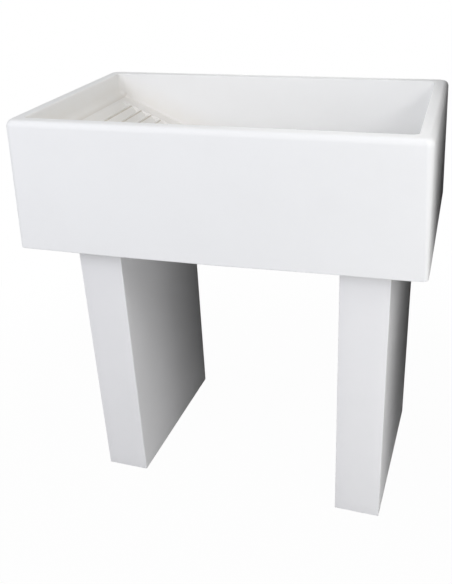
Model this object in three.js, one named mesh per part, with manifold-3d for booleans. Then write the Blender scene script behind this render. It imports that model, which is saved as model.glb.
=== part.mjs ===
// Utility laundry sink: a cast-stone tub with an integral washboard, standing on two slab pedestals.
// Millimetres, +Z up, front towards -Y. The origin is on the floor, under the middle of the tub.

import * as THREE from 'three';
import { mergeVertices } from 'three/addons/utils/BufferGeometryUtils.js';
import Module from 'manifold-3d';

const wasm = await Module();
wasm.setup();

// ---------------------------------------------------------------- driving dimensions

// Play between neighbouring pieces that rest on each other.
const SEAT_GAP = 0.3;

// Tub, outside.
const RIM_LENGTH = 800;
const RIM_DEPTH = 478;
const TUB_HEIGHT = 260;
const OUTER_DRAFT = 7.5;            // each outer wall leans out this much from rim to underside
const RIM_CORNER_RADIUS = 14;
const UNDERSIDE_CORNER_RADIUS = 8;
const UNDERSIDE_EDGE_ROUND = 2;

// Tub, rim section.
const RIM_WIDTH = 27.5;             // outer face to inner wall
const RIM_ROUND_WIDTH = 10;
const RIM_ROUND_HEIGHT = 13;
const RIM_INNER_ROUND = 3;

// Tub, inside.
const FLOOR_THICKNESS = 35;
const INNER_DRAFT = 8;              // each inner wall leans in this much from rim to floor
const INNER_CORNER_RADIUS = 12;
const FLOOR_COVE_RADIUS = 25;
const FLOOR_FALL = 5;               // the floor drops this much towards the drain

// Washboard, cast into the left end.
const BOARD_TOP_DEPTH = 48.6;       // below the rim, at the left inner wall
const BOARD_SLOPE_DEG = 23.85;
const BOARD_END_BORDER = 19.2;      // plain strip above the first groove
const BOARD_FOOT_BORDER = 40;       // plain strip below the last groove
const BOARD_SIDE_BORDER = 36.5;     // plain strip in front of and behind the grooves
const GROOVE_PITCH = 26.1;
const GROOVE_DEPTH = 9.75;
const GROOVE_FALL_RUN = 15.5;       // the steep side that faces down the board
const CREST_FLAT = 1.5;

// Drain hole.
const DRAIN_FROM_RIGHT_END = 235;
const DRAIN_HOLE_RADIUS = 26;
const DRAIN_RECESS_RADIUS = 40;
const DRAIN_RECESS_DEPTH = 6;

// Pedestals: two equal slabs, set down as a square pair, a little askew under the tub.
const PEDESTAL_WIDTH = 96.5;
const PEDESTAL_DEPTH = 390;
const PEDESTAL_HEIGHT = 585;
const PEDESTAL_EDGE_ROUND = 1.5;
const PEDESTAL_END_SETBACK = 74.5;  // rim end to the slab's outer side
const PAIR_SHIFT_RIGHT = 21.2;
const PAIR_SHIFT_FORWARD = 5.7;
const PAIR_STAGGER = 1.6;           // the right slab stands this much forward, the left one back
const PAIR_TURN_DEG = 1.85;         // clockwise, seen from above

// Mortar beds between the pedestals and the tub.
const BED_THICKNESS = 3;
const BED_MARGIN = 5;

// Waste fitting.
const FLANGE_RADIUS = 38;
const FLANGE_THICKNESS = 3;
const FLANGE_EDGE_ROUND = 1.2;
const SEAT_TOP_RADIUS = 22.6;       // the tapered seat for the plug
const SEAT_BOTTOM_RADIUS = 21;
const SEAT_HEIGHT = 12;
const WASTE_BORE_RADIUS = 19.5;
const WASTE_THREAD_RADIUS = 23.9;
const WASTE_TAIL = 52;              // threaded tube below the tub
const CROSSBAR_WIDTH = 4;
const CROSSBAR_HEIGHT = 3.5;
const CROSSBAR_DROP = 3;            // below the seat
const CROSS_HUB_RADIUS = 5;
const FLANGE_SEAL_THICKNESS = 2;
const FLANGE_SEAL_SETBACK = 1.5;    // inside the flange's edge
const WASHER_RADIUS = 37;
const RUBBER_WASHER_THICKNESS = 4;
const SLIP_WASHER_THICKNESS = 1.5;
const NUT_ACROSS_FLATS = 60;
const NUT_HEIGHT = 12;
const NUT_SKIRT_RADIUS = 34;
const NUT_SKIRT_HEIGHT = 3;

// Tailpiece, held to the end of the threaded tube by a coupling nut.
const TAILPIECE_RADIUS = 20;
const TAILPIECE_WALL = 2.2;
const TAILPIECE_LENGTH = 50;
const TAILPIECE_COLLAR_HEIGHT = 3;
const TAIL_WASHER_THICKNESS = 2.5;
const COUPLING_RADIUS = 29;
const COUPLING_HEIGHT = 24;
const COUPLING_FLOOR = 3;           // inward lip that carries the tailpiece's collar
const COUPLING_RIBS = 12;
const COUPLING_RIB_WIDTH = 4;
const COUPLING_RIB_DEPTH = 1.6;

// Plug.
const PLUG_HEAD_OVERLAP = 3;        // the head stands out this much past the seat
const PLUG_HEAD_HEIGHT = 4;
const PLUG_HEAD_ROUND = 1.5;
const PLUG_SEAT_DEPTH = 10.5;       // how far the tapered plug reaches into the seat
const PLUG_CROWN = 2;

// Pull ring and the eye that holds it.
const EYE_BASE_RADIUS = 6;
const EYE_BASE_HEIGHT = 1.2;
const EYE_POST_WIDTH = 6.4;
const EYE_POST_THICKNESS = 3;
const EYE_HOLE_HEIGHT = 5.2;        // hole centre above the plug's crown
const EYE_HOLE_RADIUS = 1.6;
const EYE_STEM_RADIUS = 1.8;
const EYE_STEM_LENGTH = 7;
const RING_RADIUS = 11;
const RING_WIRE_RADIUS = 1.1;

// Facets.
const CORNER_STEPS = 5;
const RIM_STEPS = 6;
const SMALL_ROUND_STEPS = 3;
const COVE_STEPS = 5;
const WASTE_SEGMENTS = 48;
const SMALL_SEGMENTS = 24;
const RING_SEGMENTS = 32;
const WIRE_SEGMENTS = 10;

// How far a volume reaches into the one that it is joined to, and how far a cut runs past a face.
const BURIED = 6;
const CUT_PAST = 1;

// ---------------------------------------------------------------- derived places

const quarterTurn = Math.PI / 2;
const boardSlope = THREE.MathUtils.degToRad(BOARD_SLOPE_DEG);
const undersideZ = PEDESTAL_HEIGHT + SEAT_GAP + BED_THICKNESS + SEAT_GAP;
const rimZ = undersideZ + TUB_HEIGHT;
const floorZ = undersideZ + FLOOR_THICKNESS;
const drainX = RIM_LENGTH / 2 - DRAIN_FROM_RIGHT_END;
const drainFloorZ = floorZ - FLOOR_FALL;
const recessZ = drainFloorZ - DRAIN_RECESS_DEPTH;

const outerLean = (z) => OUTER_DRAFT * (rimZ - z) / TUB_HEIGHT;
const innerLean = (z) => INNER_DRAFT * (rimZ - z) / (rimZ - floorZ);

// Washboard: its top line at the left inner wall, and its foot where it meets the floor.
const boardTopZ = rimZ - BOARD_TOP_DEPTH;
const boardTopX = -RIM_LENGTH / 2 + RIM_WIDTH + innerLean(boardTopZ);
const boardRun = (boardTopZ - floorZ) / Math.tan(boardSlope);
const boardFootX = boardTopX + boardRun;
const boardLength = boardRun / Math.cos(boardSlope);
const grooveLength = RIM_DEPTH - 2 * RIM_WIDTH - 2 * BOARD_SIDE_BORDER;
const grooveCount = Math.floor((boardLength - BOARD_END_BORDER - BOARD_FOOT_BORDER) / GROOVE_PITCH);

// Waste fitting, from the recess upwards and from the underside downwards.
const flangeUndersideZ = recessZ + SEAT_GAP + FLANGE_SEAL_THICKNESS + SEAT_GAP;
const flangeTopZ = flangeUndersideZ + FLANGE_THICKNESS;
const seatBottomZ = flangeTopZ - SEAT_HEIGHT;
const crossbarTopZ = seatBottomZ - CROSSBAR_DROP;
const wasteEndZ = undersideZ - WASTE_TAIL;
const rubberWasherZ = undersideZ - SEAT_GAP - RUBBER_WASHER_THICKNESS;
const slipWasherZ = rubberWasherZ - SEAT_GAP - SLIP_WASHER_THICKNESS;
const nutZ = slipWasherZ - SEAT_GAP - NUT_HEIGHT;
const threadClearRadius = WASTE_THREAD_RADIUS + SEAT_GAP;
const tailWasherZ = wasteEndZ - SEAT_GAP - TAIL_WASHER_THICKNESS;
const tailCollarZ = tailWasherZ - SEAT_GAP - TAILPIECE_COLLAR_HEIGHT;
const couplingZ = tailCollarZ - SEAT_GAP - COUPLING_FLOOR;
const tailpieceEndZ = tailCollarZ + TAILPIECE_COLLAR_HEIGHT - TAILPIECE_LENGTH;

// Plug: its head rests on the flange, its taper follows the seat.
const plugHeadZ = flangeTopZ + SEAT_GAP;
const plugTopZ = plugHeadZ + PLUG_HEAD_HEIGHT;
const plugHeadRadius = SEAT_TOP_RADIUS + PLUG_HEAD_OVERLAP;
const seatTaper = (SEAT_TOP_RADIUS - SEAT_BOTTOM_RADIUS) / SEAT_HEIGHT;
const plugCrownZ = plugTopZ + PLUG_CROWN;
const eyeHoleZ = plugCrownZ + EYE_HOLE_HEIGHT;

// The ring hangs from the eye and its far side rests on the plug's head.
const ringTilt = Math.asin((eyeHoleZ - plugTopZ - RING_WIRE_RADIUS - SEAT_GAP) / (2 * RING_RADIUS));

// ---------------------------------------------------------------- materials

const material = (name, color, roughness, metalness) =>
  new THREE.MeshStandardMaterial({ name, color, roughness, metalness });

const castStone = material('cast_stone', 0xe9eaec, 0.6, 0);
const pedestalStone = material('pedestal_stone', 0xe4e5e8, 0.65, 0);
const mortar = material('mortar', 0xc9c6be, 0.95, 0);
const chrome = material('chrome', 0xd4d6d8, 0.15, 1);
const brass = material('brass', 0xb9975a, 0.35, 1);
const blackRubber = material('black_rubber', 0x1d1d1e, 0.8, 0);
const plugRubber = material('plug_rubber', 0x222223, 0.75, 0);
const whitePlastic = material('white_plastic', 0xe8e6df, 0.5, 0);
const steel = material('steel', 0xb4b6b8, 0.25, 1);

// ---------------------------------------------------------------- solids

// A closed geometry as a solid that can be joined and cut.
function solidOf(geometry) {
  const bare = geometry.clone();
  bare.deleteAttribute('normal');
  bare.deleteAttribute('uv');
  const merged = mergeVertices(bare, 1e-4);
  return new wasm.Manifold(new wasm.Mesh({
    numProp: 3,
    vertProperties: new Float32Array(merged.attributes.position.array),
    triVerts: new Uint32Array(merged.index.array),
  }));
}

function geometryOf(solid) {
  const mesh = solid.getMesh();
  const geometry = new THREE.BufferGeometry();
  geometry.setAttribute('position', new THREE.BufferAttribute(new Float32Array(mesh.vertProperties), 3));
  geometry.setIndex(new THREE.BufferAttribute(new Uint32Array(mesh.triVerts), 1));
  geometry.computeVertexNormals();
  return geometry;
}

// A ring of points: a rectangle with rounded corners, at one height.
function roundedRing(halfLength, halfDepth, radius, z, centreX = 0) {
  const points = [];
  for (let corner = 0; corner < 4; corner += 1) {
    const signX = corner === 0 || corner === 3 ? 1 : -1;
    const signY = corner < 2 ? 1 : -1;
    for (let step = 0; step <= CORNER_STEPS; step += 1) {
      const angle = (corner + step / CORNER_STEPS) * quarterTurn;
      points.push(new THREE.Vector3(
        centreX + signX * (halfLength - radius) + radius * Math.cos(angle),
        signY * (halfDepth - radius) + radius * Math.sin(angle),
        z,
      ));
    }
  }
  return points;
}

// A closed skin through rings of equal point counts, with flat convex ends.
function loft(rings) {
  const count = rings[0].length;
  const position = rings.flat().flatMap((point) => [point.x, point.y, point.z]);
  const index = [];
  for (let ring = 0; ring + 1 < rings.length; ring += 1) {
    for (let i = 0; i < count; i += 1) {
      const a = ring * count + i;
      const b = ring * count + (i + 1) % count;
      index.push(a, b, b + count, a, b + count, a + count);
    }
  }
  const last = (rings.length - 1) * count;
  for (let i = 1; i + 1 < count; i += 1) {
    index.push(0, i + 1, i);
    index.push(last, last + i, last + i + 1);
  }
  const geometry = new THREE.BufferGeometry();
  geometry.setAttribute('position', new THREE.Float32BufferAttribute(position, 3));
  geometry.setIndex(index);
  return geometry;
}

// An upright outline in X and Z, given thickness along Y about the middle plane.
function slabAcrossY(outline, thickness) {
  const shape = new THREE.Shape(outline.map(([x, z]) => new THREE.Vector2(x, z)));
  const geometry = new THREE.ExtrudeGeometry(shape, { depth: thickness, bevelEnabled: false });
  return geometry.rotateX(quarterTurn).translate(0, thickness / 2, 0);
}

// A turned piece about the Z axis, from a closed outline of radius and height.
function turned(outline, segments) {
  const points = outline.map(([radius, z]) => new THREE.Vector2(radius, z));
  return new THREE.LatheGeometry(points, segments).rotateX(quarterTurn);
}

function closedRingOutline(innerRadius, outerRadius, bottomZ, topZ) {
  return [
    [innerRadius, bottomZ],
    [outerRadius, bottomZ],
    [outerRadius, topZ],
    [innerRadius, topZ],
    [innerRadius, bottomZ],
  ];
}

function uprightCylinder(radius, bottomZ, topZ, segments) {
  const height = topZ - bottomZ;
  return new THREE.CylinderGeometry(radius, radius, height, segments)
    .rotateX(quarterTurn)
    .translate(0, 0, bottomZ + height / 2);
}

// ---------------------------------------------------------------- tub

// The outer skin climbs from the underside to the rim, turns over it and goes down inside to the floor.
function tubShell() {
  const rings = [];
  const outerRadiusAt = (z) => THREE.MathUtils.lerp(
    RIM_CORNER_RADIUS, UNDERSIDE_CORNER_RADIUS, (rimZ - z) / TUB_HEIGHT);
  const outside = (z, inset) => roundedRing(
    RIM_LENGTH / 2 + outerLean(z) - inset, RIM_DEPTH / 2 + outerLean(z) - inset, outerRadiusAt(z), z);
  const inside = (z, inset) => roundedRing(
    RIM_LENGTH / 2 - RIM_WIDTH - innerLean(z) - inset, RIM_DEPTH / 2 - RIM_WIDTH - innerLean(z) - inset,
    INNER_CORNER_RADIUS, z);

  for (let step = 0; step <= SMALL_ROUND_STEPS; step += 1) {
    const angle = step / SMALL_ROUND_STEPS * quarterTurn;
    rings.push(outside(
      undersideZ + UNDERSIDE_EDGE_ROUND * (1 - Math.cos(angle)),
      UNDERSIDE_EDGE_ROUND * (1 - Math.sin(angle)),
    ));
  }
  for (let step = 0; step <= RIM_STEPS; step += 1) {
    const angle = step / RIM_STEPS * quarterTurn;
    rings.push(outside(
      rimZ - RIM_ROUND_HEIGHT * (1 - Math.sin(angle)),
      RIM_ROUND_WIDTH * (1 - Math.cos(angle)),
    ));
  }
  for (let step = 0; step <= SMALL_ROUND_STEPS; step += 1) {
    const angle = step / SMALL_ROUND_STEPS * quarterTurn;
    rings.push(inside(
      rimZ - RIM_INNER_ROUND * (1 - Math.cos(angle)),
      -RIM_INNER_ROUND * (1 - Math.sin(angle)),
    ));
  }
  for (let step = 0; step <= COVE_STEPS; step += 1) {
    const angle = step / COVE_STEPS * quarterTurn;
    rings.push(inside(
      floorZ + FLOOR_COVE_RADIUS * (1 - Math.sin(angle)),
      FLOOR_COVE_RADIUS * (1 - Math.cos(angle)),
    ));
  }
  return loft(rings);
}

// The washboard's wedge, buried a little in the end wall, the side walls and the floor.
function boardWedge() {
  const buriedRise = BURIED * Math.tan(boardSlope);
  const outline = [
    [boardTopX - BURIED, floorZ - BURIED],
    [boardFootX + BURIED / Math.tan(boardSlope), floorZ - BURIED],
    [boardTopX - BURIED, boardTopZ + buriedRise],
  ];
  return slabAcrossY(outline, RIM_DEPTH - 2 * RIM_WIDTH + 2 * BURIED);
}

// One groove, in line with the board's surface: steep towards the foot, then rising to the next crest.
function grooveCutter(number) {
  const start = BOARD_END_BORDER + number * GROOVE_PITCH + CREST_FLAT / 2;
  const end = start + GROOVE_PITCH - CREST_FLAT;
  const outline = [
    [start, CUT_PAST],
    [start, 0],
    [start + GROOVE_FALL_RUN, -GROOVE_DEPTH],
    [end, 0],
    [end, CUT_PAST],
  ];
  return slabAcrossY(outline, grooveLength).rotateY(boardSlope).translate(boardTopX, 0, boardTopZ);
}

// The shallow fall of the floor, from the foot of the board and the coves to the drain.
function floorFallCutter() {
  const right = RIM_LENGTH / 2 - RIM_WIDTH - INNER_DRAFT - FLOOR_COVE_RADIUS;
  const halfDepth = RIM_DEPTH / 2 - RIM_WIDTH - INNER_DRAFT - FLOOR_COVE_RADIUS;
  const halfLength = (right - boardFootX) / 2;
  const centreX = (right + boardFootX) / 2;
  const edge = (z) => roundedRing(halfLength, halfDepth, INNER_CORNER_RADIUS, z, centreX);
  const drain = roundedRing(DRAIN_RECESS_RADIUS, DRAIN_RECESS_RADIUS, DRAIN_RECESS_RADIUS, drainFloorZ, drainX);
  return loft([drain, edge(floorZ), edge(floorZ + CUT_PAST)]);
}

function tubGeometry() {
  let tub = solidOf(tubShell()).add(solidOf(boardWedge()));
  for (let number = 0; number < grooveCount; number += 1) {
    tub = tub.subtract(solidOf(grooveCutter(number)));
  }
  const recess = uprightCylinder(DRAIN_RECESS_RADIUS, recessZ, floorZ, WASTE_SEGMENTS).translate(drainX, 0, 0);
  const hole = uprightCylinder(DRAIN_HOLE_RADIUS, undersideZ - CUT_PAST, floorZ, WASTE_SEGMENTS)
    .translate(drainX, 0, 0);
  return geometryOf(tub
    .subtract(solidOf(floorFallCutter()))
    .subtract(solidOf(recess))
    .subtract(solidOf(hole)));
}

// ---------------------------------------------------------------- pedestals and beds

function slabGeometry(width, depth, height, edgeRound) {
  const ring = (z, inset) => roundedRing(width / 2 - inset, depth / 2 - inset, edgeRound, z);
  const bevel = Math.min(edgeRound / 2, height / 4);
  return loft([ring(0, bevel), ring(bevel, 0), ring(height - bevel, 0), ring(height, bevel)]);
}

// ---------------------------------------------------------------- waste fitting

function wasteBodyGeometry() {
  const tube = solidOf(turned([
    [WASTE_BORE_RADIUS, wasteEndZ],
    [WASTE_THREAD_RADIUS, wasteEndZ],
    [WASTE_THREAD_RADIUS, flangeUndersideZ],
    [FLANGE_RADIUS, flangeUndersideZ],
    [FLANGE_RADIUS, flangeTopZ - FLANGE_EDGE_ROUND],
    [FLANGE_RADIUS - FLANGE_EDGE_ROUND, flangeTopZ],
    [SEAT_TOP_RADIUS, flangeTopZ],
    [SEAT_BOTTOM_RADIUS, seatBottomZ],
    [WASTE_BORE_RADIUS, seatBottomZ],
    [WASTE_BORE_RADIUS, wasteEndZ],
  ], WASTE_SEGMENTS));
  const barLength = WASTE_BORE_RADIUS + WASTE_THREAD_RADIUS;
  const barMiddleZ = crossbarTopZ - CROSSBAR_HEIGHT / 2;
  const bar = (length, depth) => solidOf(
    new THREE.BoxGeometry(length, depth, CROSSBAR_HEIGHT).translate(0, 0, barMiddleZ));
  const hub = uprightCylinder(CROSS_HUB_RADIUS, crossbarTopZ - CROSSBAR_HEIGHT, crossbarTopZ, SMALL_SEGMENTS);
  return geometryOf(tube
    .add(bar(barLength, CROSSBAR_WIDTH))
    .add(bar(CROSSBAR_WIDTH, barLength))
    .add(solidOf(hub)));
}

function nutGeometry() {
  const cornerRadius = NUT_ACROSS_FLATS / 2 / Math.cos(Math.PI / 6);
  const hexagon = uprightCylinder(cornerRadius, nutZ, nutZ + NUT_HEIGHT - NUT_SKIRT_HEIGHT / 2, 6);
  const skirt = uprightCylinder(
    NUT_SKIRT_RADIUS, nutZ + NUT_HEIGHT - NUT_SKIRT_HEIGHT, nutZ + NUT_HEIGHT, WASTE_SEGMENTS);
  const bore = uprightCylinder(threadClearRadius, nutZ - CUT_PAST, nutZ + NUT_HEIGHT + CUT_PAST, WASTE_SEGMENTS);
  return geometryOf(solidOf(hexagon).add(solidOf(skirt)).subtract(solidOf(bore)));
}

function tailpieceGeometry() {
  const bore = TAILPIECE_RADIUS - TAILPIECE_WALL;
  return turned([
    [bore, tailpieceEndZ],
    [TAILPIECE_RADIUS, tailpieceEndZ],
    [TAILPIECE_RADIUS, tailCollarZ],
    [WASTE_THREAD_RADIUS, tailCollarZ],
    [WASTE_THREAD_RADIUS, tailCollarZ + TAILPIECE_COLLAR_HEIGHT],
    [bore, tailCollarZ + TAILPIECE_COLLAR_HEIGHT],
    [bore, tailpieceEndZ],
  ], WASTE_SEGMENTS);
}

function couplingGeometry() {
  const topZ = couplingZ + COUPLING_HEIGHT;
  let coupling = solidOf(turned([
    [TAILPIECE_RADIUS + SEAT_GAP, couplingZ],
    [COUPLING_RADIUS - COUPLING_RIB_DEPTH, couplingZ],
    [COUPLING_RADIUS, couplingZ + COUPLING_RIB_DEPTH],
    [COUPLING_RADIUS, topZ],
    [threadClearRadius, topZ],
    [threadClearRadius, couplingZ + COUPLING_FLOOR],
    [TAILPIECE_RADIUS + SEAT_GAP, couplingZ + COUPLING_FLOOR],
    [TAILPIECE_RADIUS + SEAT_GAP, couplingZ],
  ], WASTE_SEGMENTS));
  const ribHeight = COUPLING_HEIGHT - 2 * COUPLING_RIB_DEPTH;
  for (let number = 0; number < COUPLING_RIBS; number += 1) {
    const rib = new THREE.BoxGeometry(2 * COUPLING_RIB_DEPTH, COUPLING_RIB_WIDTH, ribHeight)
      .translate(COUPLING_RADIUS, 0, (couplingZ + topZ) / 2)
      .rotateZ(number / COUPLING_RIBS * 2 * Math.PI);
    coupling = coupling.add(solidOf(rib));
  }
  return geometryOf(coupling);
}

// ---------------------------------------------------------------- plug, eye and ring

function plugGeometry() {
  const taperTop = SEAT_TOP_RADIUS - SEAT_GAP;
  const plugBottomZ = flangeTopZ - PLUG_SEAT_DEPTH;
  const taperBottom = taperTop - seatTaper * PLUG_SEAT_DEPTH;
  const body = solidOf(turned([
    [0, plugBottomZ],
    [taperBottom, plugBottomZ],
    [taperTop, flangeTopZ],
    [taperTop, plugHeadZ],
    [plugHeadRadius, plugHeadZ],
    [plugHeadRadius, plugTopZ - PLUG_HEAD_ROUND],
    [plugHeadRadius - PLUG_HEAD_ROUND, plugTopZ],
    [EYE_BASE_RADIUS + PLUG_CROWN, plugTopZ],
    [EYE_BASE_RADIUS, plugCrownZ],
    [0, plugCrownZ],
  ], WASTE_SEGMENTS));
  const stemHole = uprightCylinder(
    EYE_STEM_RADIUS + SEAT_GAP, plugCrownZ - EYE_STEM_LENGTH - SEAT_GAP, plugCrownZ + CUT_PAST, SMALL_SEGMENTS);
  return geometryOf(body.subtract(solidOf(stemHole)));
}

function eyeGeometry() {
  const baseBottomZ = plugCrownZ + SEAT_GAP;
  const stemBottomZ = plugCrownZ - EYE_STEM_LENGTH;
  const postTop = EYE_POST_WIDTH / 2;
  const base = uprightCylinder(EYE_BASE_RADIUS, baseBottomZ, baseBottomZ + EYE_BASE_HEIGHT, SMALL_SEGMENTS);
  const stem = uprightCylinder(EYE_STEM_RADIUS, stemBottomZ, baseBottomZ + EYE_BASE_HEIGHT / 2, SMALL_SEGMENTS);
  const post = new THREE.BoxGeometry(EYE_POST_WIDTH, EYE_POST_THICKNESS, eyeHoleZ - baseBottomZ)
    .translate(0, 0, (eyeHoleZ + baseBottomZ) / 2);
  const head = new THREE.CylinderGeometry(postTop, postTop, EYE_POST_THICKNESS, SMALL_SEGMENTS)
    .translate(0, 0, eyeHoleZ);
  const hole = new THREE.CylinderGeometry(
    EYE_HOLE_RADIUS, EYE_HOLE_RADIUS, EYE_POST_THICKNESS + 2 * CUT_PAST, SMALL_SEGMENTS).translate(0, 0, eyeHoleZ);
  return geometryOf(solidOf(base)
    .add(solidOf(stem))
    .add(solidOf(post))
    .add(solidOf(head))
    .subtract(solidOf(hole)));
}

// ---------------------------------------------------------------- assembly

const sink = new THREE.Group();

function piece(name, geometry, surface, parent = sink) {
  const mesh = new THREE.Mesh(geometry, surface);
  mesh.name = name;
  parent.add(mesh);
  return mesh;
}

piece('tub', tubGeometry(), castStone);

const pedestalPair = new THREE.Group();
pedestalPair.position.set(PAIR_SHIFT_RIGHT, -PAIR_SHIFT_FORWARD, 0);
pedestalPair.rotation.z = -THREE.MathUtils.degToRad(PAIR_TURN_DEG);
sink.add(pedestalPair);

const pedestalX = RIM_LENGTH / 2 - PEDESTAL_END_SETBACK - PEDESTAL_WIDTH / 2;
for (const [side, sign] of [['left', -1], ['right', 1]]) {
  const slab = slabGeometry(PEDESTAL_WIDTH, PEDESTAL_DEPTH, PEDESTAL_HEIGHT, PEDESTAL_EDGE_ROUND);
  const stagger = -sign * PAIR_STAGGER;
  piece(`pedestal_${side}`, slab, pedestalStone, pedestalPair)
    .position.set(sign * pedestalX, stagger, 0);
  const bed = slabGeometry(
    PEDESTAL_WIDTH - 2 * BED_MARGIN, PEDESTAL_DEPTH - 2 * BED_MARGIN, BED_THICKNESS, BED_MARGIN);
  piece(`mortar_bed_${side}`, bed, mortar, pedestalPair)
    .position.set(sign * pedestalX, stagger, PEDESTAL_HEIGHT + SEAT_GAP);
}

const wasteFitting = new THREE.Group();
wasteFitting.position.x = drainX;
sink.add(wasteFitting);

piece('waste_body', wasteBodyGeometry(), chrome, wasteFitting);
piece('flange_seal', turned(closedRingOutline(
  threadClearRadius, FLANGE_RADIUS - FLANGE_SEAL_SETBACK, recessZ + SEAT_GAP,
  recessZ + SEAT_GAP + FLANGE_SEAL_THICKNESS), WASTE_SEGMENTS), blackRubber, wasteFitting);
piece('rubber_washer', turned(closedRingOutline(
  threadClearRadius, WASHER_RADIUS, rubberWasherZ,
  rubberWasherZ + RUBBER_WASHER_THICKNESS), WASTE_SEGMENTS), blackRubber, wasteFitting);
piece('slip_washer', turned(closedRingOutline(
  threadClearRadius, WASHER_RADIUS, slipWasherZ,
  slipWasherZ + SLIP_WASHER_THICKNESS), WASTE_SEGMENTS), whitePlastic, wasteFitting);
piece('back_nut', nutGeometry(), brass, wasteFitting);
piece('tail_washer', turned(closedRingOutline(
  WASTE_BORE_RADIUS, WASTE_THREAD_RADIUS, tailWasherZ,
  tailWasherZ + TAIL_WASHER_THICKNESS), WASTE_SEGMENTS), blackRubber, wasteFitting);
piece('tailpiece', tailpieceGeometry(), whitePlastic, wasteFitting);
piece('coupling_nut', couplingGeometry(), whitePlastic, wasteFitting);

piece('plug', plugGeometry(), plugRubber, wasteFitting);
piece('plug_eye', eyeGeometry(), steel, wasteFitting);

// The ring's own frame has its hinge line, through the eye, along Y.
const ringHinge = new THREE.Group();
ringHinge.position.z = eyeHoleZ;
ringHinge.rotation.y = ringTilt;
wasteFitting.add(ringHinge);
piece('pull_ring', new THREE.TorusGeometry(RING_RADIUS, RING_WIRE_RADIUS, WIRE_SEGMENTS, RING_SEGMENTS),
  steel, ringHinge).position.x = RING_RADIUS;

export default sink;
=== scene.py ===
# %% [markdown]
# # A laundry tub with a washboard
#
# The object is a deep tub, cast in white stone with a ribbed washboard in its left end. It stands on two
# plain slabs. A waste is clamped into its floor, and a rubber plug with a pull ring closes it.
#
# The frame comes from CAD and stays as it is. Everything here is in metres, with +Z up and -Y towards the
# person who washes. Each piece is made as a finer mesh around the frame's own places, and then rides on the
# frame's body, so it moves as the real piece does.

# %% Load the frame
import math

import bmesh
import bpy
import numpy as np
from mathutils import Matrix, Vector


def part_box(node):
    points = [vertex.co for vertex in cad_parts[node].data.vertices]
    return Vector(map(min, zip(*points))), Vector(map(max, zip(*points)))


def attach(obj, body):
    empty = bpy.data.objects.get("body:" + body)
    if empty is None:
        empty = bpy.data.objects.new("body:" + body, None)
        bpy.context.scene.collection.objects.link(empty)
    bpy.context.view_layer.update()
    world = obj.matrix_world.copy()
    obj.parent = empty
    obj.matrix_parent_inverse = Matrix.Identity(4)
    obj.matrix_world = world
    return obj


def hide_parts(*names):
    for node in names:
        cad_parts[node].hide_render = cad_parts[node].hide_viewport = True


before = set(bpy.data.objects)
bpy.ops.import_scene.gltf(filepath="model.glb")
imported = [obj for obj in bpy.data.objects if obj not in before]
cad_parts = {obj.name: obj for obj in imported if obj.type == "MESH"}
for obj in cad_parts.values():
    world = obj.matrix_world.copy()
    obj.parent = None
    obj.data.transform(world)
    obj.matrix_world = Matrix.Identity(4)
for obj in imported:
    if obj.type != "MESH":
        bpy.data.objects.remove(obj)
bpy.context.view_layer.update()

MM = 0.001
tub_low, tub_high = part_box("tub")

# %% [markdown]
# ## The camera
#
# The viewer stands a little to the right of the sink and looks down on it. The camera's place was worked out
# from the sink's straight edges, which meet in three vanishing points. Its angles are kept as yaw, pitch and
# roll, because these are what a photographer would change. The shift keeps the sink where it sits in the
# frame without turning the camera away from it.

# %% Camera
IMAGE_WIDTH = 452
IMAGE_HEIGHT = 584
CAMERA_PLACE = Vector((0.4483, -1.4311, 1.1884))
CAMERA_YAW = 0.2918
CAMERA_PITCH = 0.4573
CAMERA_ROLL = -0.0357
FOCAL_PIXELS = 735.6
VIEW_CENTRE_PIXEL = (256.0, 273.5)
SENSOR = 36.0


def camera_axes(yaw, pitch, roll):
    """The camera's right, up and backward directions in the frame."""
    forward = Vector((-math.sin(yaw) * math.cos(pitch), math.cos(yaw) * math.cos(pitch), -math.sin(pitch)))
    level_right = Vector((math.cos(yaw), math.sin(yaw), 0))
    level_up = level_right.cross(forward)
    right = math.cos(roll) * level_right + math.sin(roll) * level_up
    up = math.cos(roll) * level_up - math.sin(roll) * level_right
    return right, up, -forward


camera = bpy.data.objects.new("camera", bpy.data.cameras.new("camera"))
bpy.context.scene.collection.objects.link(camera)
bpy.context.scene.camera = camera
turn = Matrix(camera_axes(CAMERA_YAW, CAMERA_PITCH, CAMERA_ROLL)).transposed().to_4x4()
camera.matrix_world = Matrix.Translation(CAMERA_PLACE) @ turn
camera.data.sensor_width = SENSOR
camera.data.lens = FOCAL_PIXELS / IMAGE_HEIGHT * SENSOR
camera.data.shift_x = (IMAGE_WIDTH / 2 - VIEW_CENTRE_PIXEL[0]) / IMAGE_HEIGHT
camera.data.shift_y = (VIEW_CENTRE_PIXEL[1] - IMAGE_HEIGHT / 2) / IMAGE_HEIGHT
print("camera:", round(camera.data.lens, 2), "mm")

# %% [markdown]
# ## Writing node trees as sums
#
# Materials and Geometry Nodes both do arithmetic on values that change from point to point. Placing Math
# nodes by hand hides the formula, so a small class wraps a socket and gives it Python's operators: an
# expression such as `1 - mask * 0.3` then adds the nodes that it needs. Every other kind of node comes from
# one method, `add`, which sets the node's settings first and then fills its sockets.

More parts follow.
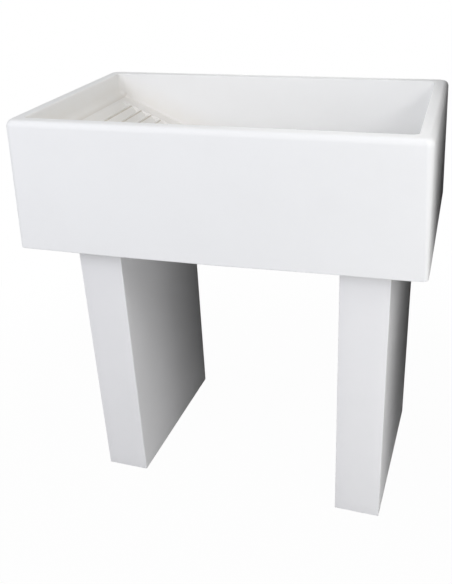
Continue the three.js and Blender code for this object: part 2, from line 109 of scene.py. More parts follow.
# %% Sockets as values
class Wire:
    """One output socket of a node tree, usable in sums."""

    def __init__(self, tree, socket):
        self.tree = tree
        self.socket = socket

    def math(self, operation, *others):
        return self.tree.add("ShaderNodeMath", {"operation": operation}, self, *others)

    def between(self, low, high):
        """This value squeezed so that low gives 0 and high gives 1, smoothly."""
        settings = {"interpolation_type": "SMOOTHSTEP"}
        return self.tree.add("ShaderNodeMapRange", settings, self, low, high, 0.0, 1.0)

    def band(self, start, full, last, end):
        """A mask that rises from start to full and falls again from last to end."""
        return self.between(start, full) * self.between(end, last)

    def out(self, name):
        """Another output of the same node."""
        return Wire(self.tree, self.socket.node.outputs[name])

    def __add__(self, other):
        return self.math("ADD", other)

    __radd__ = __add__

    def __mul__(self, other):
        return self.math("MULTIPLY", other)

    __rmul__ = __mul__

    def __sub__(self, other):
        return self.math("SUBTRACT", other)

    def __rsub__(self, other):
        return self.tree.add("ShaderNodeMath", {"operation": "SUBTRACT"}, other, self)

    def __truediv__(self, other):
        return self.math("DIVIDE", other)

    def __neg__(self):
        return self * -1.0


class Tree:
    """A node tree that is filled by Python calls."""

    def __init__(self, tree):
        self.tree = tree

    def add(self, kind, settings=None, *values, **named):
        """A new node: its settings first, then its sockets by position or by name."""
        node = self.tree.nodes.new(kind)
        for name, value in (settings or {}).items():
            setattr(node, name, value)
        for number, value in enumerate(values):
            self.fill(node.inputs[number], value)
        for name, value in named.items():
            self.fill(node.inputs[name.replace("_", " ")], value)
        return Wire(self, node.outputs[0]) if node.outputs else node

    def fill(self, socket, value):
        if isinstance(value, Wire):
            self.tree.links.new(value.socket, socket)
        elif value is not None:
            socket.default_value = value


# %% [markdown]
# ## Finishes
#
# The sink has no coat of paint; only the washboard's crests carry painted shade, which comes below. The
# stone is cast in a smooth mould, so its colour hardly changes: pale cement with marble dust, a little
# cloudy over a hand's breadth, finely speckled, and with a fine pitting that breaks the highlight. Metal,
# rubber and plastic differ mostly in how rough they are. All patterns read Object coordinates, which are
# metres here, so a scale of 100 means details about a centimetre across.

# %% Material helpers
MIX_FIRST, MIX_SECOND, MIX_RESULT = 6, 7, 2         # a Mix node's colour sockets
finishes = {}                       # the materials made here; the frame's plain ones have the same names


def new_material(name):
    """The empty tree of a new material, which is kept in finishes under its name."""
    material = bpy.data.materials.new(name)
    material.use_nodes = True
    material.node_tree.nodes.clear()
    finishes[name] = material
    return Tree(material.node_tree)


def object_place(tree):
    return tree.add("ShaderNodeTexCoord").out("Object")


def noise(tree, place, scale, detail=3.0, roughness=0.5):
    """Soft noise around 0.5, in features about 1 / scale metres across."""
    return tree.add(
        "ShaderNodeTexNoise", None, Vector=place, Scale=scale, Detail=detail, Roughness=roughness)


def blend_colours(tree, factor, first, second):
    """The first colour where factor is 0 and the second where it is 1."""
    node = tree.add("ShaderNodeMix", {"data_type": "RGBA"}, factor).socket.node
    for number, colour in ((MIX_FIRST, first), (MIX_SECOND, second)):
        tree.fill(node.inputs[number], colour if isinstance(colour, Wire) else (*colour, 1.0))
    return Wire(tree, node.outputs[MIX_RESULT])


def surface(tree, colour, roughness, height, bump_distance, **fixed):
    """Ends a material: a Principled shader with colour, roughness and a bump made from height."""
    bump = tree.add("ShaderNodeBump", None, Height=height, Distance=bump_distance, Strength=1.0)
    shader = tree.add(
        "ShaderNodeBsdfPrincipled", None, Base_Color=colour, Roughness=roughness, Normal=bump, **fixed)
    tree.add("ShaderNodeOutputMaterial", None, shader)


# %% Cast stone
CLOUD_SCALE, WAVE_SCALE, PIT_SCALE, SPECKLE_SCALE = 9.0, 45.0, 420.0, 900.0
CLOUD_DETAIL, CLOUD_ROUGHNESS = 5.0, 0.62
CLOUD_RANGE = (0.35, 0.75)          # the noise values where a cloud begins and where it is full
SPECKLE_RANGE = (0.5, 0.9)
SPECKLE_SHARE = 0.15
PIT_RANGE = (0.02, 0.22)            # the distances from a cell's middle where a pit is deepest and ends
WAVE_HEIGHT, SPECKLE_HEIGHT = 1.6, 0.12
GLOSS_DRIFT = 0.12
STONE_BUMP = 0.1 * MM
STONE_SPECULAR = 0.2


def cast_stone(name, light, dark, gloss, cloudiness, pitting, marks=None):
    """White cement stone: a pale colour that drifts to a darker one in clouds and fine speckles.

    marks is a function of the tree and the place, which gives each mark's colour and how strong it is; the
    tub's marks include painted shade.
    """
    tree = new_material(name)
    place = object_place(tree)
    cloud = noise(tree, place, CLOUD_SCALE, CLOUD_DETAIL, CLOUD_ROUGHNESS)
    speckle = noise(tree, place, SPECKLE_SCALE, detail=2.0)
    wave = noise(tree, place, WAVE_SCALE)
    pits = tree.add("ShaderNodeTexVoronoi", {"feature": "F1"}, Vector=place, Scale=PIT_SCALE)
    drift = cloud.between(*CLOUD_RANGE) * cloudiness + speckle.between(*SPECKLE_RANGE) * SPECKLE_SHARE
    colour = blend_colours(tree, drift, light, dark)
    for shade, strength in (marks(tree, place) if marks else []):
        colour = blend_colours(tree, strength, colour, shade)
    height = pits.between(*PIT_RANGE) * pitting + wave * WAVE_HEIGHT + speckle * SPECKLE_HEIGHT
    surface(tree, colour, gloss + cloud * GLOSS_DRIFT, height, STONE_BUMP, Specular_IOR_Level=STONE_SPECULAR)
    return tree


cast_stone(
    "pedestal_stone", light=(0.857, 0.854, 0.856), dark=(0.785, 0.785, 0.785), gloss=0.65, cloudiness=0.2,
    pitting=0.8)
print("stone for the pedestals:", len(finishes), "material")

# %% Mortar, metals, rubber and plastic
METAL = {"patches": (60.0, 0.4, 0.75), "drift": 0.12, "Metallic": 1.0}
MOULDED = {"patches": (50.0, 0.35, 0.75), "drift": 0.15}
FINISHES = [                        # slot, colour, its shade, roughness, grain, bump distance, kind
    ("chrome", (0.80, 0.81, 0.82), (0.72, 0.73, 0.74), 0.06, (900, 2, 1), 0.01 * MM, METAL),
    ("brass", (0.62, 0.47, 0.24), (0.45, 0.33, 0.17), 0.28, (500, 2, 8), 0.05 * MM, METAL),
    ("steel", (0.60, 0.60, 0.61), (0.50, 0.50, 0.51), 0.16, (900, 2, 1), 0.02 * MM, METAL),
    ("black_rubber", (0.02, 0.02, 0.021), (0.035, 0.035, 0.034), 0.62, (900, 3, 1), 0.06 * MM, MOULDED),
    ("plug_rubber", (0.024, 0.024, 0.026), (0.042, 0.041, 0.04), 0.5, (700, 3, 1), 0.08 * MM, MOULDED),
    ("white_plastic", (0.80, 0.79, 0.75), (0.74, 0.73, 0.68), 0.32, (1200, 3, 1), 0.03 * MM, MOULDED),
]
MORTAR_PASTE, MORTAR_GRAIN = (0.36, 0.35, 0.33), (0.6, 0.58, 0.55)


def finish(name, colour, shade, roughness, grain, bump_distance, patches, drift, **fixed):
    """Metal, rubber or plastic: a colour that turns to its shade in patches, and a fine grain.

    grain is its scale, its detail and how much it is squeezed along Z. patches is their scale and the noise
    values where they begin and are full. drift is how much they change the roughness.
    """
    tree = new_material(name)
    place = object_place(tree)
    grain_scale, grain_detail, squeeze = grain
    squeezed = tree.add("ShaderNodeMapping", None, Vector=place, Scale=(1.0, 1.0, squeeze))
    skin = noise(tree, squeezed, grain_scale, grain_detail)
    patch_scale, *patch_range = patches
    patch = noise(tree, place, patch_scale, detail=4.0)
    tint = blend_colours(tree, patch.between(*patch_range), colour, shade)
    surface(tree, tint, roughness + patch * drift, skin, bump_distance, **fixed)


def mortar_finish():
    """Grey bedding mortar: coarse grains in a darker paste, damp in places."""
    tree = new_material("mortar")
    place = object_place(tree)
    grains = noise(tree, place, scale=700.0, detail=4.0, roughness=0.7)
    damp = noise(tree, place, scale=30.0)
    colour = blend_colours(tree, grains.between(0.35, 0.7), MORTAR_PASTE, MORTAR_GRAIN)
    surface(tree, colour, roughness=0.85 + damp * 0.12, height=grains + damp, bump_distance=0.6 * MM)


for *values, kind in FINISHES:
    finish(*values, **kind)
mortar_finish()
print("finishes:", len(finishes))

# %% [markdown]
# ## Helpers for meshes
#
# Every piece ends the same way: its object sits at the origin with its place in its mesh, it takes one
# material, stands in for its CAD node and rides on that node's body. Turned pieces, such as washers and the
# plug, come from a half outline that is spun round an upright axis, as on a lathe.

# %% Mesh helpers
WELD = 1e-7                         # vertices nearer than this become one


def new_object(name, mesh):
    piece = bpy.data.objects.new(name, mesh)
    bpy.context.scene.collection.objects.link(piece)
    return piece


def mesh_from(name, vertices, faces):
    mesh = bpy.data.meshes.new(name)
    mesh.from_pydata([tuple(v) for v in vertices], [], faces)
    return mesh


def mesh_of(work, name):
    """The mesh of a bmesh, which is used up."""
    mesh = bpy.data.meshes.new(name)
    work.to_mesh(mesh)
    work.free()
    return mesh


def solid(name, vertices, faces):
    """A closed piece: doubled vertices are merged and every face points outwards."""
    rough = mesh_from("rough", vertices, faces)
    work = bmesh.new()
    work.from_mesh(rough)
    bpy.data.meshes.remove(rough)
    bmesh.ops.remove_doubles(work, verts=work.verts, dist=WELD)
    bmesh.ops.recalc_face_normals(work, faces=work.faces)
    return new_object(name, mesh_of(work, name))


def applied(piece):
    """Turns a piece with modifiers into a plain mesh."""
    graph = bpy.context.evaluated_depsgraph_get()
    mesh = bpy.data.meshes.new_from_object(piece.evaluated_get(graph))
    piece.modifiers.clear()
    piece.data = mesh
    return piece


def bevelled(piece, width, segments, angle_degrees):
    """Rounds the edges where faces meet at more than the angle."""
    change = piece.modifiers.new("bevel", "BEVEL")
    change.width = width
    change.segments = segments
    change.limit_method = "ANGLE"
    change.angle_limit = math.radians(angle_degrees)
    return applied(piece)


def combine(piece, cutter, operation):
    """Joins, cuts or intersects a piece with another, which is used up."""
    change = piece.modifiers.new(operation.lower(), "BOOLEAN")
    change.operation = operation
    change.solver = "EXACT"
    change.object = cutter
    applied(piece)
    bpy.data.objects.remove(cutter)
    return piece


def settle(piece, slot, *nodes, body="sink", crease_degrees=35.0):
    """Finishes a piece: shading, material, the CAD nodes that it stands for and the body it rides on."""
    piece.data.shade_smooth()
    piece.data.set_sharp_from_angle(angle=math.radians(crease_degrees))
    piece.data.materials.clear()
    piece.data.materials.append(finishes[slot])
    if nodes:
        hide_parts(*nodes)
    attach(piece, body)
    print(f"{piece.name}: {len(piece.data.polygons)} faces")
    return piece


# %% Turning on a lathe
TURN_STEPS = 96
LOW_OUTER, HIGH_OUTER, HIGH_INNER, LOW_INNER = (-1, 1, -90), (-1, -1, 0), (1, -1, 90), (1, 1, 180)

waste_low, waste_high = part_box("waste_body")
drain_x = 0.5 * (waste_low.x + waste_high.x)    # the upright axis of all that is turned


def arc(centre_r, centre_z, radius, start_degrees, end_degrees, steps):
    """Points of a round stretch in a half outline."""
    angles = np.radians(np.linspace(start_degrees, end_degrees, steps + 1))
    return [(centre_r + radius * math.cos(a), centre_z + radius * math.sin(a)) for a in angles]


def corner(r, z, radius, quarter, steps=3):
    """The round that takes the place of a half outline's sharp corner at (r, z)."""
    side_r, side_z, start = quarter
    return arc(r + side_r * radius, z + side_z * radius, radius, start, start + 90, steps)


def loop_faces(loops, length, closed):
    """Quads between neighbouring loops of points. closed joins the last loop to the first."""
    faces = []
    for loop in range(loops if closed else loops - 1):
        here, there = loop * length, (loop + 1) % loops * length
        for point in range(length):
            after = (point + 1) % length
            faces.append((here + point, here + after, there + after, there + point))
    return faces


def turned(name, outline, steps=TURN_STEPS, axis_x=drain_x):
    """A closed half outline of (radius, height) points, spun round an upright axis."""
    angles = [2 * math.pi * step / steps for step in range(steps)]
    vertices = [(axis_x + r * math.cos(a), r * math.sin(a), z) for a in angles for r, z in outline]
    on_axis = [r == 0 for r, z in outline]
    count = len(outline)
    faces = loop_faces(steps, count, True)
    return solid(name, vertices, [f for f in faces if not (on_axis[f[0] % count] and on_axis[f[1] % count])])


def ring_outline(inner, outer, low, high, rounding):
    """A washer's section: a rectangle with small round corners."""
    return (
        corner(outer, low, rounding, LOW_OUTER) + corner(outer, high, rounding, HIGH_OUTER)
        + corner(inner, high, rounding, HIGH_INNER) + corner(inner, low, rounding, LOW_INNER))


# %% [markdown]
# ## The tub
#
# The tub is poured into one mould, so inside, rim and outside are one unbroken skin with every edge rounded.
# A box with its middle cut out would give hard seams, and remeshing it would blur the ribs. Instead the skin
# is folded from one sheet, like a paper tray: the middle of a grid is the floor and the washboard, and the
# strips around it turn up into the walls, over the rim, down the outside and in under the edge. Each strip
# line is one closed ring round the tub, and the corner blocks of the sheet bend into the round corners.

# %% Tub sizes
RIM_HALF = (400.0 * MM, 239.0 * MM)
OUTER_DRAFT = 7.5 * MM
OUTER_CORNER = (14.0 * MM, 8.0 * MM)      # vertical corner radius at the rim and at the underside
UNDER_ROUND = 1.8 * MM
RIM_WIDTH = 27.5 * MM
RIM_ROUND = (10.0 * MM, 13.0 * MM)        # width and height of the rim's outer rounding
RIM_INNER_ROUND = 3.0 * MM
INNER_DRAFT = 8.0 * MM
INNER_CORNER = (12.0 * MM, 14.0 * MM)     # vertical corner radius at the rim and at the wall's foot
FLOOR_THICKNESS = 35.0 * MM
FLOOR_FALL = 5.0 * MM
FLOOR_COVE = 25.0 * MM

BOARD_TOP_DEPTH = 48.6 * MM
BOARD_SLOPE = math.radians(23.85)
BOARD_END_BORDER = 19.2 * MM
BOARD_SIDE_BORDER = 36.5 * MM
BOARD_FOOT_BLEND = 9.0 * MM
BOARD_COVE = 2.0 * MM
BOARD_FOOT_COVE_START = 70.0 * MM         # the cove starts to widen this far before the board's foot
BOARD_FOOT_COVE_FADE = 90.0 * MM
BOARD_END_COVE = 12.0 * MM
BOARD_END_COVE_FADE = 14.0 * MM
GROOVE_PITCH = 26.1 * MM
GROOVE_DEPTH = 9.75 * MM
GROOVE_FALL_RUN = 15.5 * MM
GROOVE_COUNT = 14
CREST_FLAT = 0.8 * MM

FRONT_EDGE_FADE = 60.0 * MM
FRONT_EDGE_WAVER = [                      # (place along the tub, rise of the lower front edge)
    (-0.40, -2.0 * MM), (-0.20, -2.7 * MM), (0.0, -1.5 * MM), (0.10, 0.5 * MM), (0.23, 3.0 * MM),
    (0.37, 4.2 * MM), (0.41, 6.0 * MM)]

rim_z = tub_high.z
under_z = tub_low.z
tub_height = rim_z - under_z
floor_z = under_z + FLOOR_THICKNESS
board_top_z = rim_z - BOARD_TOP_DEPTH


def inner_lean(z):
    """How far the inner wall has leaned in at height z."""
    return INNER_DRAFT * (rim_z - z) / (rim_z - floor_z)


board_top_x = -RIM_HALF[0] + RIM_WIDTH + inner_lean(board_top_z)
board_foot_x = board_top_x + (board_top_z - floor_z) / math.tan(BOARD_SLOPE)
groove_half_length = RIM_HALF[1] - RIM_WIDTH - BOARD_SIDE_BORDER
print("board foot at", round(board_foot_x, 4), "grooves reach to y", round(groove_half_length, 4))


# %% The sheet's floor line
def soft_max(a, b, k):
    """The larger of a and b, with the corner between them rounded over k."""
    overlap = np.maximum(k - np.abs(a - b), 0) / k
    return np.maximum(a, b) + overlap ** 3 * k / 6


def bottom_z(x):
    """Height of the plain bottom: the washboard's slope, blended into the floor."""
    slope_z = board_top_z - (x - board_top_x) * math.tan(BOARD_SLOPE)
    return soft_max(slope_z, floor_z, BOARD_FOOT_BLEND)


def eased(t):
    """0 below 0, 1 above 1 and a smooth change between."""
    t = np.clip(t, 0, 1)
    return t * t * (3 - 2 * t)


def cove_radius(x):
    """The round between wall and bottom: tight beside the board, wider over its end and round the floor."""
    near_floor = eased((x - board_foot_x + BOARD_FOOT_COVE_START) / BOARD_FOOT_COVE_FADE)
    near_end = eased(1 - (x - board_top_x - BOARD_END_COVE) / BOARD_END_COVE_FADE)
    return BOARD_COVE + (FLOOR_COVE - BOARD_COVE) * near_floor + (BOARD_END_COVE - BOARD_COVE) * near_end


def clustered(start, end, steps):
    """Steps from start to end, closer together near both ends; the end itself is left out."""
    t = 0.5 - 0.5 * np.cos(np.pi * np.arange(steps) / steps)
    return start + (end - start) * t


# %% Columns and rows of the sheet
FACE_STEPS = 8                      # columns on each side of a groove
BORDER_STEPS = 5                    # columns between the end cove and the first groove
FLOOR_COLUMN = 12.0 * MM
ROW_SPACING = 15.0 * MM
END_WALL_STEEPNESS = 7.0            # the grooves end in nearly upright walls
END_WALL_ROWS = 9
END_WALL_MARGIN = (1.2 * MM, 0.8 * MM)    # rows this far inside and outside a groove's end keep it crisp
BORDER_SHARES = (0.25, 0.5, 0.75, 1.0)    # rows across the plain border beside the board

down_board = math.cos(BOARD_SLOPE)
groove_starts = [BOARD_END_BORDER + number * GROOVE_PITCH for number in range(GROOVE_COUNT)]
groove_end = BOARD_END_BORDER + GROOVE_COUNT * GROOVE_PITCH
distances = []
for start in groove_starts:
    valley = start + CREST_FLAT / 2 + GROOVE_FALL_RUN
    distances += [*clustered(start, valley, FACE_STEPS)]
    distances += [*clustered(valley, start + GROOVE_PITCH, FACE_STEPS)]
distances.append(groove_starts[-1] + GROOVE_PITCH)
groove_columns = board_top_x + np.array(distances) * down_board
left_end = board_top_x + BOARD_END_COVE
right_end = RIM_HALF[0] - RIM_WIDTH - inner_lean(floor_z) - FLOOR_COVE
border_columns = np.linspace(left_end, groove_columns[0], BORDER_STEPS + 1)[:-1]
floor_count = round((right_end - groove_columns[-1]) / FLOOR_COLUMN)
floor_columns = np.linspace(groove_columns[-1], right_end, floor_count + 1)[1:]
columns = np.concatenate([border_columns, groove_columns, floor_columns])

row_edge = groove_half_length + END_WALL_MARGIN[1]
wall_start = groove_half_length - GROOVE_DEPTH / END_WALL_STEEPNESS - END_WALL_MARGIN[0]
wall_rows = np.linspace(wall_start, row_edge, END_WALL_ROWS)
middle_rows = np.linspace(-wall_start, wall_start, round(2 * wall_start / ROW_SPACING) + 1)[1:-1]
board_rows = np.concatenate([-wall_rows[::-1], middle_rows, wall_rows])
print("sheet:", len(columns), "columns")

# %% [markdown]
# ## Tint and painted shade on the washboard
#
# The stone is a little warmer and darker over the washboard and on the wall just above it, and a darker band
# runs a little way below the board's top. Along each crest lies a thin dark line of painted shade, which
# stands for the shaded face that climbs to the crest. Each is a second colour that is mixed into the stone
# by masks. A mask is worked out from the same sizes as the grooves, so that it stays on their crests when a
# size changes.
# Painting an image would tie the marks to one shape.

# %% Tub stone with its tint and painted crest shade
# the colour of the dark lines: painted shade along the crests, and a darker band below the board's top
GROOVE_LINE_COLOUR = (0.58, 0.53, 0.46)
# a warmer, darker tint over the washboard and the wall just above it
BOARD_TINT = (0.80, 0.75, 0.67)
BOARD_TINT_STRENGTH = (0.25, 0.15)     # what holds everywhere, and what the patches add to it
# how strong the painted shade on the crests is: what holds everywhere, and what the patches add to it
PAINTED_CREST_SHADE_STRENGTH = (0.65, 0.25)
TOP_LINE_STRENGTH = 0.35
PATCH_NOISE = (30.0, 4.0, 0.6)    # scale, detail and roughness
PATCH_NOISE_RANGE = (0.2, 0.75)
MARK_LOW = (-14 * MM, -11 * MM)    # above the board's plane: where the marks begin and are full
TINT_HEIGHT = 70 * MM             # they fade out up to here on the walls
# A band is where a mask begins, from where and up to where it is full, and where it ends.
# the crest band is painted shade, standing for the shaded face that climbs to each crest
CREST = (0.0, 0.8 * MM, 3 * MM, 4 * MM)         # down from a millimetre before each crest
TOP_LINE = (2 * MM, 13 * MM, 13 * MM, 15 * MM)  # down from the board's top


def board_axes(axes, top_x, top_z, sine, cosine):
    """How far down the board a place lies, and how far above the board's plane."""
    from_x = axes - top_x
    from_z = axes.out("Z") - top_z
    return from_x * cosine - from_z * sine, from_x * sine + from_z * cosine


def basin_marks(tree, place):
    """The basin's tint and dark lines, with painted shade on the crests: (colour, how strong at this place),
    widest first.
    """
    axes = tree.add("ShaderNodeSeparateXYZ", None, place)
    down, above = board_axes(axes, board_top_x, board_top_z, math.sin(BOARD_SLOPE), math.cos(BOARD_SLOPE))
    from_middle = axes.out("Y").math("ABSOLUTE")
    inner_half = RIM_HALF[1] - RIM_WIDTH
    inside = from_middle.between(inner_half + 3 * MM, inner_half)
    inside *= (axes - board_top_x).between(-6 * MM, -3 * MM) * above.between(*MARK_LOW)
    near_board = above.between(TINT_HEIGHT, 0.0)
    near_board *= axes.out("Z").between(floor_z - 12 * MM, floor_z - 8 * MM)
    patches = noise(tree, place, *PATCH_NOISE).between(*PATCH_NOISE_RANGE)

    # Painted shade: a dark line on each crest, standing for the shaded face that climbs to it.
    crest = (down - BOARD_END_BORDER + 1 * MM).math("FLOORED_MODULO", GROOVE_PITCH).band(*CREST)
    crest *= from_middle.between(groove_half_length - 1 * MM, groove_half_length - 3 * MM)
    crest *= down.band(BOARD_END_BORDER + 5 * MM, BOARD_END_BORDER + 6 * MM, groove_end, groove_end + 2 * MM)
    crest *= above.between(1 * MM, 0.2 * MM)
    top_line = down.band(*TOP_LINE) * above.between(14 * MM, 4 * MM)
    always, in_patches = PAINTED_CREST_SHADE_STRENGTH
    lines = crest * (patches * in_patches + always) + top_line * TOP_LINE_STRENGTH
    always, in_patches = BOARD_TINT_STRENGTH
    return [
        (BOARD_TINT, inside * near_board * (patches * in_patches + always)),
        (GROOVE_LINE_COLOUR, inside * lines),
    ]


stone_tree = cast_stone(
    "cast_stone", light=(0.868, 0.870, 0.866), dark=(0.80, 0.797, 0.79), gloss=0.55, cloudiness=0.15,
    pitting=0.5, marks=basin_marks)
print("tub stone:", len(stone_tree.tree.nodes), "nodes")

# %% The sheet's rings
SUPPORT = 0.8 * MM                  # a row close to a round stretch keeps the flat beside it flat
FRONT_EDGE_STRIP = 28.0 * MM        # how far in under the tub the struck edge reaches


def quarter(steps):
    """Angles from 0 to a right angle, as their sines and cosines."""
    angles = np.linspace(0, math.pi / 2, steps)
    return [(math.sin(a), math.cos(a)) for a in angles]


wall_low = under_z + UNDER_ROUND
wall_high = rim_z - RIM_ROUND[1]
wall_heights = [wall_low + SUPPORT, *np.linspace(wall_low, wall_high, 6)[1:-1], wall_high - SUPPORT]
outer_rings = [(FRONT_EDGE_STRIP, under_z)]     # (inset from the outer face, height)
outer_rings += [
    (UNDER_ROUND * (1 - sine), under_z + UNDER_ROUND * (1 - cosine)) for sine, cosine in quarter(5)]
outer_rings += [(0.0, z) for z in wall_heights]
outer_rings += [
    (RIM_ROUND[0] * (1 - cosine), rim_z - RIM_ROUND[1] * (1 - sine)) for sine, cosine in quarter(12)]
inner_round = [                                 # (inset from the inner wall, height)
    (-RIM_INNER_ROUND * (1 - sine), rim_z - RIM_INNER_ROUND * (1 - cosine)) for sine, cosine in quarter(7)]
wall_shares = [0.02, 0.15, 0.35, 0.55, 0.75, 0.9, 0.985]
cove_turns = quarter(9)[:-1]
RINGS = len(outer_rings) + len(inner_round) + len(wall_shares) + len(cove_turns)
print("rings:", RINGS)


# %% Folding the sheet
def fold_sheet():
    """Vertices and faces of the tub's skin, from under the outer edge to the floor."""
    border = len(BORDER_SHARES)
    row_count = len(board_rows) + 2 * border
    column_count = len(columns)
    i, j = np.meshgrid(
        np.arange(column_count + 2 * RINGS), np.arange(row_count + 2 * RINGS), indexing="ij")
    column = np.clip(i - RINGS, 0, column_count - 1)
    row = np.clip(j - RINGS, 0, row_count - 1)
    past_x = i - RINGS - column
    past_y = j - RINGS - row
    ring = RINGS - np.maximum(np.abs(past_x), np.abs(past_y))

    # The outward direction: square to the sides, swinging through the corners.
    ax, ay = np.abs(past_x), np.abs(past_y)
    swing = np.where(ax <= ay, ax / np.maximum(ay, 1), 2 - ay / np.maximum(ax, 1)) * (math.pi / 4)
    out_x = np.sign(past_x) * np.sin(swing)
    out_y = np.sign(past_y) * np.cos(swing)

    # The bottom: fixed columns and rows, with the border rows reaching out to the cove.
    x_bottom = columns[column]
    z_bottom = bottom_z(x_bottom)
    reach = RIM_HALF[1] - RIM_WIDTH - inner_lean(z_bottom) - cove_radius(x_bottom)
    y_rows = np.zeros(row_count)
    y_rows[border:-border] = board_rows
    y_bottom = y_rows[row]
    side = np.sign(row - (row_count - 1) / 2)
    for number, share in enumerate(BORDER_SHARES):
        in_border = (row == border - 1 - number) | (row == row_count - border + number)
        y_bottom = np.where(in_border, side * (row_edge + (reach - row_edge) * share), y_bottom)
    unit_x = (x_bottom - 0.5 * (columns[0] + columns[-1])) / (0.5 * (columns[-1] - columns[0]))
    unit_y = y_bottom / reach
    x, y, z = x_bottom.copy(), y_bottom.copy(), z_bottom.copy()

    def put(mask, half_x, half_y, centre_x, corner_radius, height):
        """Lays the masked ring round the tub at a height, with its corners rounded."""
        x[mask] = (centre_x + unit_x * (half_x - corner_radius) + out_x * corner_radius)[mask]
        y[mask] = (unit_y * (half_y - corner_radius) + out_y * corner_radius)[mask]
        z[mask] = np.broadcast_to(height, z.shape)[mask]

    for number, (inset, height) in enumerate(outer_rings):
        fallen = (rim_z - height) / tub_height
        corner_radius = OUTER_CORNER[0] + (OUTER_CORNER[1] - OUTER_CORNER[0]) * fallen
        half = [side_half + OUTER_DRAFT * fallen - inset for side_half in RIM_HALF]
        put(ring == number, *half, 0.0, corner_radius, height)
    first = len(outer_rings)
    for number, (inset, height) in enumerate(inner_round):
        half = [side_half - RIM_WIDTH - inner_lean(height) - inset for side_half in RIM_HALF]
        put(ring == first + number, *half, 0.0, INNER_CORNER[0] - inset, height)

    # The inner wall and the cove follow the bottom's height, which they meet at their own place along the
    # tub. That place depends on the height again, so it is found in three rounds.
    wall_top = rim_z - RIM_INNER_ROUND
    first += len(inner_round)
    levels = [(share, None) for share in wall_shares] + [(None, turn) for turn in cove_turns]
    for number, (share, turn) in enumerate(levels):
        mask = ring == first + number
        x_here = x_bottom
        for _ in range(3):
            cove, foot = cove_radius(x_here), bottom_z(x_here)
            if turn is None:
                height = wall_top - share * (wall_top - foot - cove)
                inset, corner_radius = 0.0, INNER_CORNER[0] + (INNER_CORNER[1] - INNER_CORNER[0]) * share
            else:
                height = foot + cove * (1 - turn[0])
                inset, corner_radius = cove * (1 - turn[1]), INNER_CORNER[1] * turn[1]
            lean = inner_lean(height)
            left = -RIM_HALF[0] + RIM_WIDTH + lean + inset
            right = RIM_HALF[0] - RIM_WIDTH - lean - inset
            half_y = RIM_HALF[1] - RIM_WIDTH - lean - inset
            put(mask, 0.5 * (right - left), half_y, 0.5 * (right + left), corner_radius, height)
            x_here = np.where(mask, x, x_here)

    # The lower front edge was struck off by hand: it isn't quite straight. The waver fades out up the wall.
    fade = np.clip(1 - (z - under_z) / FRONT_EDGE_FADE, 0, 1) ** 2
    fade *= np.clip((-y - RIM_HALF[1]) / FRONT_EDGE_FADE + 1, 0, 1)
    outside = (ring >= 1) & (ring < len(outer_rings))
    z += np.where(outside, fade * np.interp(x, *zip(*FRONT_EDGE_WAVER)), 0)

    # The floor falls to the drain.
    on_floor = (ring == RINGS) & (x > board_foot_x)
    run = np.where(x > drain_x, columns[-1] - drain_x, drain_x - board_foot_x)
    from_drain = (np.abs((x - drain_x) / run) ** 4 + np.abs(y / reach) ** 4) ** 0.25
    z -= np.where(on_floor, FLOOR_FALL * np.clip(1 - from_drain, 0, 1), 0)

    index = np.arange(x.size).reshape(x.shape)
    quads = np.stack([index[:-1, :-1], index[1:, :-1], index[1:, 1:], index[:-1, 1:]], axis=-1)
    underside = [*index[:, 0], *index[-1, 1:], *index[-2::-1, -1], *index[0, -2:0:-1]]
    vertices = np.stack([x, y, z], axis=-1).reshape(-1, 3)
    return vertices, [tuple(map(int, face)) for face in (*quads.reshape(-1, 4), underside[::-1])]


tub = solid("tub_skin", *fold_sheet())
print("tub skin:", len(tub.data.vertices), "vertices")

# %% [markdown]
# ## The washboard's grooves
#
# The ribs are one rule repeated down the board: a groove falls away steeply from its crest, turns in a
# rounded valley and climbs to the next crest, and its ends are nearly upright. Geometry Nodes suit this,
# because the rule is the same at every point. The tree measures how far down the board a point lies, works
# out the groove's depth there with soft minimums, which round the valleys and crests, and presses the point
# in square to the board. Only points on the board's own plane move.

# %% Groove tree
ON_BOARD = 0.2 * MM                 # points nearer than this to the board's plane are pressed


def group_tree(name, inputs):
    """A Geometry Nodes tree with a named input for each size, and its inputs by name."""
    group = bpy.data.node_groups.new(name, "GeometryNodeTree")
    group.interface.new_socket("Geometry", in_out="INPUT", socket_type="NodeSocketGeometry")
    group.interface.new_socket("Geometry", in_out="OUTPUT", socket_type="NodeSocketGeometry")
    for label in inputs:
        group.interface.new_socket(label, in_out="INPUT", socket_type="NodeSocketFloat")
    tree = Tree(group)
    source = group.nodes.new("NodeGroupInput")
    return tree, {socket.name: Wire(tree, socket) for socket in source.outputs if socket.name}


def run_tree(piece, tree, sizes):
    """Runs a Geometry Nodes tree on a piece with the given sizes, and leaves a plain mesh."""
    change = piece.modifiers.new(tree.tree.name, "NODES")
    change.node_group = tree.tree
    for item in tree.tree.interface.items_tree:
        if item.in_out == "INPUT" and item.name in sizes:
            change[item.identifier] = sizes[item.name]
    return applied(piece)


def shifted(tree, geometry, x, z):
    """Geometry moved along X and Z."""
    offset = tree.add("ShaderNodeCombineXYZ", None, x, 0.0, z)
    return tree.add("GeometryNodeTransform", None, Geometry=geometry, Translation=offset)


def finish_tree(tree, geometry, slot):
    """Realises instances, sets the slot's material and connects the output."""
    real = tree.add("GeometryNodeRealizeInstances", None, geometry)
    painted = tree.add("GeometryNodeSetMaterial", None, Geometry=real, Material=finishes[slot])
    tree.add("NodeGroupOutput", None, painted)


